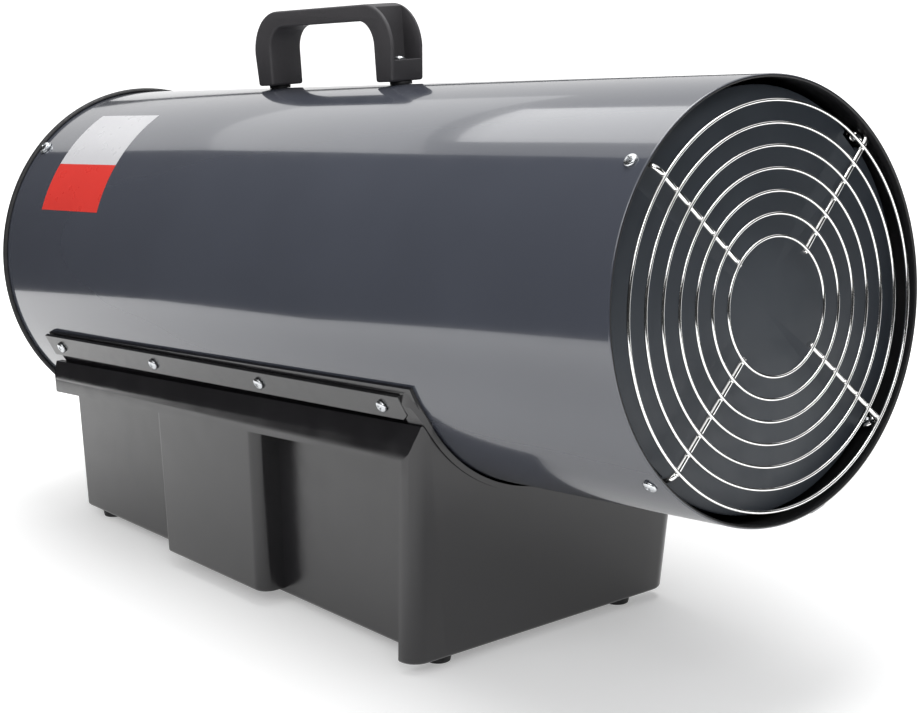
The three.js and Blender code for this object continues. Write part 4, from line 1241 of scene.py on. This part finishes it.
class HEATER_OT_screws(Operator):
    """Set every pan-head screw"""

    bl_idname = "heater.screws"
    bl_label = "Screws"

    def execute(self, context):
        tree = tree_named("Set Along Facing", facing_tree)
        turn = Matrix.Rotation(-PITCH, 3, "Y")
        for seed, (group, (washer, places)) in enumerate(screw_places().items()):
            template = screw_template(washer)
            points = [CASING_PLACE @ point for point, _ in places]
            facings = [turn @ facing for _, facing in places]
            screws = points_object(f"{group}_pan_screws", points, facings, seed + 3)
            run_tree(screws, tree, {
                "Template": template, "Size": 1.0, "Finish": finish("zinc_plate")})
            drop_tool(template)
            smooth(screws, 35)
            names = [f"{group}_screw_{i + 1}" for i in range(len(places))]
            set_piece(screws, "heater", "zinc", *names)
        return {"FINISHED"}


# ------------------------------------------------------------------ inside and rear wall
def rod(start, end, radius):
    """The profile of a plain round rod."""
    return [(start, 0), (start, radius), (end, radius), (end, 0)]


def turned_piece(name, profile, material, place, soft=0.4, segments=64):
    """A softened turned piece; its profile closes on the axis or on itself."""
    rounded = softened(profile, soft, 3, profile[0][1] != 0)
    return turned(name, rounded, material, place, segments, 40)


def hex_nut(name, start, end, bore, radius, material, place):
    """A hexagon nut along X with a round bore."""
    nut = turned(name, rod(start, end, radius), material, place, 6, 30)
    return carve(nut, [turned("bore", rod(start - 1, end + 1, bore), None, place, 48)])


def fan_blade(steps_across=12, steps_out=14):
    """One cambered, twisted blade with a tip that follows the fan's circle."""
    hub, tip = FAN["hub"], FAN["tip"]
    bm = bmesh.new()
    rows = []
    for j in range(steps_out + 1):
        share = j / steps_out
        chord = FAN["chord"] + FAN["chord_gain"] * math.sin(share * math.pi * 0.62)
        twist = math.radians(FAN["twist"] - FAN["untwist"] * share)
        loop = []
        edge = [(-1 + 2 * i / steps_across, 1) for i in range(steps_across + 1)]
        edge += [(-across, -1) for across, _ in edge]
        for across, face in edge:
            thickness = FAN["thickness"] * math.sqrt(max(0.12, 1 - across ** 6))
            camber = FAN["camber"] * (1 - across * across) * (1 - 0.4 * share)
            lift = face * thickness + camber
            along = across / 2 * chord
            x = along * math.sin(twist) + lift * math.cos(twist)
            y = along * math.cos(twist) - lift * math.sin(twist) + FAN["sweep"] * share
            reach = math.sqrt(tip * tip - y * y) - hub
            loop.append(bm.verts.new(
                (FAN["middle"] + FAN["squash"] * x, y, hub + share * reach)))
        rows.append(loop)
    grid_faces(bm, rows, False, True)
    bm.faces.new(rows[0])
    bm.faces.new(rows[-1])
    return new_piece("blade", bm, TO_METRES, "fan_alloy", 50)


class HEATER_OT_fan(Operator):
    """Press the fan and fit it with its shaft and nut"""

    bl_idname = "heater.fan"
    bl_label = "Fan"

    def execute(self, context):
        hub = [(-696, 4.3), (-696, 21.6), (-692, 27), (-670, 27), (-663, 20.2), (-660, 13.5),
               (-660, 4.3)]
        wheel = turned_piece("fan_wheel", hub, "fan_alloy", CASING_PLACE, 2.0)
        blades = copies_round_x("blades", fan_blade(), context.scene.heater_sizes.fan_blades,
                                "fan_alloy")
        blades.data.transform(METRES_TO_CASING)
        join_meshes(wheel, [blades])
        smooth(wheel, 45)
        set_piece(wheel, "fan", "steel", "fan_rotor")
        shaft = [(-740.3, 0), (-740.3, 4), (-644.6, 4), (-644, 3.4), (-644, 0)]
        shaft = turned_piece("fan_shaft", shaft, "sheet_steel", CASING_PLACE, 0.3)
        set_piece(shaft, "fan", "steel", "motor_shaft")
        nut = hex_nut("fan_lock_nut", -659.7, -652.7, 4.3, 8, "zinc_plate", CASING_PLACE)
        bevel(nut, 0.3, 2)
        set_piece(nut, "fan", "zinc", "fan_nut")
        return {"FINISHED"}


class HEATER_OT_motor(Operator):
    """Turn the motor's can and cut its cooling slots"""

    bl_idname = "heater.motor"
    bl_label = "Motor"

    def execute(self, context):
        rear, front, radius = -785.0, -705.3, 46.0
        can = [(rear, 0), (rear, 0.22 * radius), (rear + 2.4, 0.26 * radius),
               (rear + 2.4, 0.4 * radius), (rear + 5, 0.8 * radius), (rear + 8, radius),
               (rear + 30, radius), (rear + 32, radius - 2), (front - 32, radius - 2),
               (front - 30, radius), (front - 9, radius), (front, 0.78 * radius), (front, 4.3),
               (front - 36, 4.3), (front - 36, 0)]
        motor = turned_piece("fan_motor", can, "motor_paint", CASING_PLACE, 1.4)
        slot = prism("slot", rounded_rectangle(-8, 8, 2.4, 2.3, 2.3, 5), (rear - 2, rear + 9),
                     lambda a, b, depth: Vector((depth, b, 28 + a)), "motor_paint", TO_METRES)
        slots = copies_round_x("slots", slot, 10, "motor_paint")
        slots.data.transform(METRES_TO_CASING)
        carve(motor, [slots])
        bevel(motor, 0.4, 2, 40)
        smooth(motor, 40)
        set_piece(motor, "heater", "motor_paint", "motor_body")
        return {"FINISHED"}


def on_panel(control):
    """The frame of a control on the rear wall, x from the casing's rim."""
    return STAND_PLACE @ Matrix.Translation((0, CONTROLS[control], PANEL_HEIGHT))


class HEATER_OT_controls(Operator):
    """Turn the valve, nipple, gland, igniter and buttons of the rear wall"""

    bl_idname = "heater.controls"
    bl_label = "Rear controls"

    def gas_valve(self):
        """The valve block with its sleeve and bores."""
        rear = BASE["rear"] + VALVE["gap"]
        block = box("gas_valve", (rear, *VALVE["low"]), (VALVE["front"], *VALVE["high"]),
                    "zinc_plate", STAND_PLACE, 30)
        bevel(block, 2.0, 3)
        bake(block)
        sleeve = rod(BASE["rear"] - 8, rear + 2, VALVE["sleeve"])
        carve(block, [turned_piece("sleeve", sleeve, "zinc_plate", on_panel("button"), 1.0)],
              "UNION")
        bore = rod(BASE["rear"] - 9, rear + 12, VALVE["bore"])
        thread = rod(rear - 1, rear + 12, VALVE["thread"])
        carve(block, [turned_piece("bore", bore, "zinc_plate", on_panel("button"), 0.01),
                      turned_piece("thread", thread, "zinc_plate", on_panel("nipple"), 0.01)])
        bevel(block, 0.3, 2, 50)
        smooth(block, 35)
        set_piece(block, "heater", "zinc", "gas_valve_body")

    def nipple(self):
        """The threaded nipple with its hexagon collar."""
        end, rear = BASE["rear"] - 28, BASE["rear"] + VALVE["gap"]
        crests = []
        for i in range(9):
            crests += [(end + 1.4 + 1.5 * i, 8.0), (end + 2.15 + 1.5 * i, 7.3)]
        tube = [(end, 3.5), (end, 7.1), *crests, (end + 15, 8), (end + 15, 8.6),
                (rear - 0.3, 8.6), (rear - 0.3, 6), (rear + 10, 6), (rear + 10, 3.5)]
        nipple = turned_piece("gas_nipple", tube, "turned_brass", on_panel("nipple"), 0.12)
        collar = hex_nut("collar", end + 15.2, end + 24, 8.2, 11, "turned_brass",
                         on_panel("nipple"))
        join_meshes(nipple, [collar])
        bevel(nipple, 0.25, 2, 50)
        set_piece(nipple, "heater", "brass", "gas_inlet_nipple")

    def gland(self):
        """The cord gland with its grip ribs."""
        out = BASE["rear"] - 0.3
        cup = [(out - 22, 4.6), (out - 22, 6), (out - 18, 9.0), (out - 8, 10.0), (out - 8, 12),
               (out, 12), (out, 8), (out + 14, 8), (out + 14, 4.6)]
        gland = turned_piece("cord_gland", cup, "fitting_plastic", on_panel("gland"), 0.7)
        outline = [(out - 17.5, 8.0), (out - 17.0, 9.6), (out - 8.6, 10.4), (out - 8.0, 8.0)]
        rib = prism("rib", outline, (-0.7, 0.7), lambda a, b, depth: Vector((a, depth, b)),
                    "fitting_plastic", TO_METRES)
        ribs = copies_round_x("ribs", rib, 18, "fitting_plastic")
        ribs.data.transform(on_panel("gland") @ Matrix.Scale(1 / MM, 4))
        join_meshes(gland, [ribs])
        smooth(gland, 35)
        set_piece(gland, "heater", "black_plastic", "cable_gland")

    def buttons(self):
        """The gas button and the igniter button, each on its own body."""
        end = BASE["rear"] - 16
        cap = [(end + 0.9, 0), (end + 0.9, 6.4), (end, 7.4), (end, 8.6), (end + 1.4, 10),
               (end + 22, 10), (end + 22, 0)]
        gas = turned_piece("gas_push_button", cap, "button_plastic", on_panel("button"), 0.5)
        set_piece(gas, "gas_button", "red_plastic", "gas_valve_button")
        end = BASE["rear"] - 11
        cap = [(end, 0), (end, 4.8), (end + 1.2, 6), (end + 19, 6), (end + 19, 0)]
        spark = turned_piece("igniter_push_button", cap, "button_plastic", on_panel("igniter"), 0.8)
        set_piece(spark, "igniter_button", "red_plastic", "igniter_button")

    def igniter(self):
        """The igniter's barrel and flange."""
        out = BASE["rear"] - 0.3
        barrel = [(out - 3, 6.4), (out - 3, 10.5), (out - 2, 12), (out, 12), (out, 8.5),
                  (out + 46, 8.5), (out + 46, 3), (out + 52, 3), (out + 52, 0), (out + 14, 0),
                  (out + 14, 6.4)]
        igniter = turned_piece("spark_igniter", barrel, "fitting_plastic", on_panel("igniter"), 0.5)
        set_piece(igniter, "heater", "black_plastic", "igniter_body")

    def execute(self, context):
        self.gas_valve()
        self.nipple()
        self.gland()
        self.buttons()
        self.igniter()
        return {"FINISHED"}


class HEATER_OT_feet(Operator):
    """Mould the four push-in feet"""

    bl_idname = "heater.feet"
    bl_label = "Feet"

    def execute(self, context):
        profile = [(0, 0), (0, 9), (7.7, 10.5), (7.7, 2.8), (11.3, 2.8), (11.3, 4.4), (15, 2),
                   (15, 0)]
        bm = bmesh.new()
        for x, y in FOOT_PLACES:
            add_turned(bm, softened(profile, 0.8, 3), 48, Matrix.Translation((x, y, 0)) @ UPRIGHT)
        feet = new_piece("rubber_feet", bm, STAND_PLACE, "black_rubber", 40)
        set_piece(feet, "heater", "rubber", "foot_1", "foot_2", "foot_3", "foot_4")
        return {"FINISHED"}


KEPT_FINISHES = {
    "sheet_steel": ("motor_bracket", "burner_bracket"),
    "scorched_steel": ("inner_liner", "burner_cup"),
    "turned_brass": ("burner_nozzle", "thermocouple"),
    "copper_pipe": ("gas_pipe",),
    "zinc_plate": ("overheat_thermostat",),
    "electrode_ceramic": ("spark_electrode",),
    "fitting_plastic": ("cable_gland_locknut", "power_switch_housing", "power_switch_rocker"),
}


class HEATER_OT_kept(Operator):
    """Dress the solids that keep their shape"""

    bl_idname = "heater.kept"
    bl_label = "Kept solids"

    def execute(self, context):
        for material, names in KEPT_FINISHES.items():
            for name in names:
                node = NODES[name]
                node.data.materials.clear()
                node.data.materials.append(finish(material))
                weld = node.modifiers.new("weld", "WELD")
                weld.merge_threshold = 0.00001
                bevel(node, 0.3, 2, 40)
        return {"FINISHED"}


# ------------------------------------------------------------------ stage
# Where the dark flags stand, in metres; each post: x, y, lower edge, upper edge.
FLAG_POSTS = (
    (2.65, 0.0, 0.0, 1.97), (2.3, 1.33, 0.0, 1.97), (1.33, 2.3, 0.0, 1.97),
    (-0.2, 2.64, 0.0, 1.97), (-0.25, 2.64, 0.95, 1.5), (-1.6, 2.15, 0.95, 1.2),
    (-2.6, 1.0, 0.95, 1.05), (-3.2, 0.3, 0.0, 1.3), (-3.2, -0.36, 0.0, 1.5),
    (-2.0, -0.36, 0.0, 1.5), (-1.0, -0.42, 0.0, 1.5), (-0.8, -0.62, 0.0, 2.2),
    (-0.5, -0.72, 0.0, 2.2), (-0.33, -1.0, 0.0, 2.2), (0.0, -1.4, 0.0, 2.2),
    (0.9, -2.5, 0.0, 2.2), (2.3, -1.33, 0.0, 1.97), (2.65, 0.0, 0.0, 1.97),
)
# Each lamp: place, target, width and height in metres, and power in watts.
LAMPS = {
    "overhead_softbox": ((0.2, 0.1, 2.4), (0, 0, 0.2), 1.6, 1.2, 34),
    "front_softbox": ((1.9, -1.3, 1.6), (0, 0, 0.3), 1.2, 1.2, 15),
    "side_softbox": ((0.3, -2.2, 1.5), (0, 0, 0.25), 1.4, 1.0, 13),
    "rear_softbox": ((-0.5, 0.08, 1.5), (-0.5, 0.08, 0), 0.9, 0.6, 3.2),
    "rear_scrim": ((-1.5, 0.08, 1.5), (-1.5, 0.08, 0), 0.9, 1.4, 1.9),
}
WORLD_LIGHT = 0.35  # what lights the object; the camera and reflections see pure white
PAPER = (0.8, 0.8, 0.8, 1)
PAPER_GLOW = {"From Min": 0.25, "From Max": 1.05, "To Min": 0.30, "To Max": 1.0}
CAMERA = {
    "place": (1.2623, -0.9715, 0.5642), "azimuth": 49.45, "elevation": 9.84, "roll": -0.61,
    "sensor_width": 36.0, "lens": 78.157, "shift_x": -0.04886, "shift_y": -0.1292}


def backdrop_factor(tree):
    """1 where a ray from the camera or a reflection reaches, else 0."""
    path = add_node(tree, "ShaderNodeLightPath")
    value = path.outputs["Is Camera Ray"]
    for other in ("Is Glossy Ray", "Is Transmission Ray"):
        value = add_node(tree, "ShaderNodeMath", {0: value, 1: path.outputs[other]},
                         operation="MAXIMUM").outputs["Value"]
    return value


def show_apart(tree, lit, seen, output):
    """Gives the camera and reflections one shader and all other rays another."""
    choice = add_node(tree, "ShaderNodeMixShader", {
        "Fac": backdrop_factor(tree), 1: lit.outputs[0], 2: seen.outputs[0]})
    add_node(tree, output, {"Surface": choice.outputs[0]})


def floor_paper():
    """White paper: it keeps the shadows near the heater and is pure white further off."""
    material = empty_material("floor_paper")
    tree = material.node_tree
    coords = add_node(tree, "ShaderNodeTexCoord")
    away = add_node(tree, "ShaderNodeVectorMath", {0: coords.outputs["Object"]},
                    operation="LENGTH")
    spread = add_node(tree, "ShaderNodeMapRange", {
        "Value": away.outputs["Value"], **PAPER_GLOW}, interpolation_type="SMOOTHSTEP")
    glow = add_node(tree, "ShaderNodeEmission", {"Strength": spread.outputs["Result"]})
    paper = add_node(tree, "ShaderNodeBsdfDiffuse", {"Color": PAPER})
    total = add_node(tree, "ShaderNodeAddShader", {0: paper.outputs[0], 1: glow.outputs[0]})
    plain = add_node(tree, "ShaderNodeBsdfDiffuse", {"Color": PAPER})
    show_apart(tree, plain, total, "ShaderNodeOutputMaterial")
    return material


class HEATER_OT_stage(Operator):
    """Set the floor, the lamps and the camera"""

    bl_idname = "heater.stage"
    bl_label = "Stage"

    def sky(self, scene):
        """A plain world, pure white where the camera and reflections see it."""
        scene.world = bpy.data.worlds.new("studio")
        scene.world.use_nodes = True
        tree = scene.world.node_tree
        tree.nodes.clear()
        lit, seen = (add_node(tree, "ShaderNodeBackground", {
            "Color": (1, 1, 1, 1), "Strength": level}) for level in (WORLD_LIGHT, 1.0))
        show_apart(tree, lit, seen, "ShaderNodeOutputWorld")

    def floor(self):
        """The paper floor."""
        bm = bmesh.new()
        bmesh.ops.create_grid(bm, x_segments=1, y_segments=1, size=12)
        floor = new_piece("floor", bm, Matrix(), None)
        floor.data.materials.append(floor_paper())

    def flags(self):
        """Dark cloth flags round the set, which only reflections show."""
        bm = bmesh.new()
        rows = [[bm.verts.new((x, y, low)), bm.verts.new((x, y, high))]
                for x, y, low, high in FLAG_POSTS]
        grid_faces(bm, rows, False, False)
        flags = new_piece("studio_flags", bm, Matrix(), None)
        flags.data.materials.append(new_finish("flag_cloth", (0.02, 0.02, 0.02), 0.0, 1.0))
        flags.visible_camera = False
        flags.visible_diffuse = False
        flags.visible_shadow = False

    def lamps(self):
        """The soft lamps, each aimed at its target."""
        for name, (place, target, width, height, power) in LAMPS.items():
            light = bpy.data.lights.new(name, "AREA")
            light.shape = "RECTANGLE"
            light.size = width
            light.size_y = height
            light.energy = power
            lamp = add_object(name, light)
            lamp.location = place
            way = Vector(target) - Vector(place)
            lamp.rotation_euler = way.to_track_quat("-Z", "Y").to_euler()

    def camera(self, scene):
        """The camera that matches the photograph's view."""
        data = bpy.data.cameras.new("camera")
        data.clip_start = 0.05
        for name in ("sensor_width", "lens", "shift_x", "shift_y"):
            setattr(data, name, CAMERA[name])
        scene.camera = add_object("camera", data)
        azimuth, elevation, roll = (
            math.radians(CAMERA[name]) for name in ("azimuth", "elevation", "roll"))
        back = Vector((math.sin(azimuth) * math.cos(elevation),
                       -math.cos(azimuth) * math.cos(elevation), math.sin(elevation)))
        turn = back.to_track_quat("Z", "Y").to_matrix() @ Matrix.Rotation(roll, 3, "Z")
        scene.camera.matrix_world = Matrix.Translation(CAMERA["place"]) @ turn.to_4x4()

    def execute(self, context):
        context.scene.view_settings.view_transform = "Standard"
        self.sky(context.scene)
        self.floor()
        self.flags()
        self.lamps()
        self.camera(context.scene)
        return {"FINISHED"}


# ------------------------------------------------------------------ panel and registration
STEPS = (
    HEATER_OT_finishes, HEATER_OT_casing, HEATER_OT_patch, HEATER_OT_guards,
    HEATER_OT_deflector, HEATER_OT_handle, HEATER_OT_base, HEATER_OT_strips,
    HEATER_OT_screws, HEATER_OT_fan, HEATER_OT_motor, HEATER_OT_controls, HEATER_OT_feet,
    HEATER_OT_kept, HEATER_OT_stage,
)


class HEATER_PT_sidebar(Panel):
    """Lists the heater's pieces, sizes and colours"""

    bl_idname = "HEATER_PT_sidebar"
    bl_label = "Forced Air Heater"
    bl_space_type = "VIEW_3D"
    bl_region_type = "UI"
    bl_category = "Heater"

    def draw(self, context):
        for step in STEPS:
            self.layout.operator(step.bl_idname)
        for group in (context.scene.heater_sizes, context.scene.heater_colours):
            for name in group.__annotations__:
                self.layout.prop(group, name)


CLASSES = (HeaterSizes, HeaterColours, *STEPS, HEATER_PT_sidebar)


def register():
    for cls in CLASSES:
        bpy.utils.register_class(cls)
    bpy.types.Scene.heater_sizes = PointerProperty(type=HeaterSizes)
    bpy.types.Scene.heater_colours = PointerProperty(type=HeaterColours)


def unregister():
    del bpy.types.Scene.heater_colours
    del bpy.types.Scene.heater_sizes
    for cls in reversed(CLASSES):
        bpy.utils.unregister_class(cls)


def main():
    register()
    for step in STEPS:
        group, name = step.bl_idname.split(".")
        getattr(getattr(bpy.ops, group), name)()


if __name__ == "__main__":
    main()
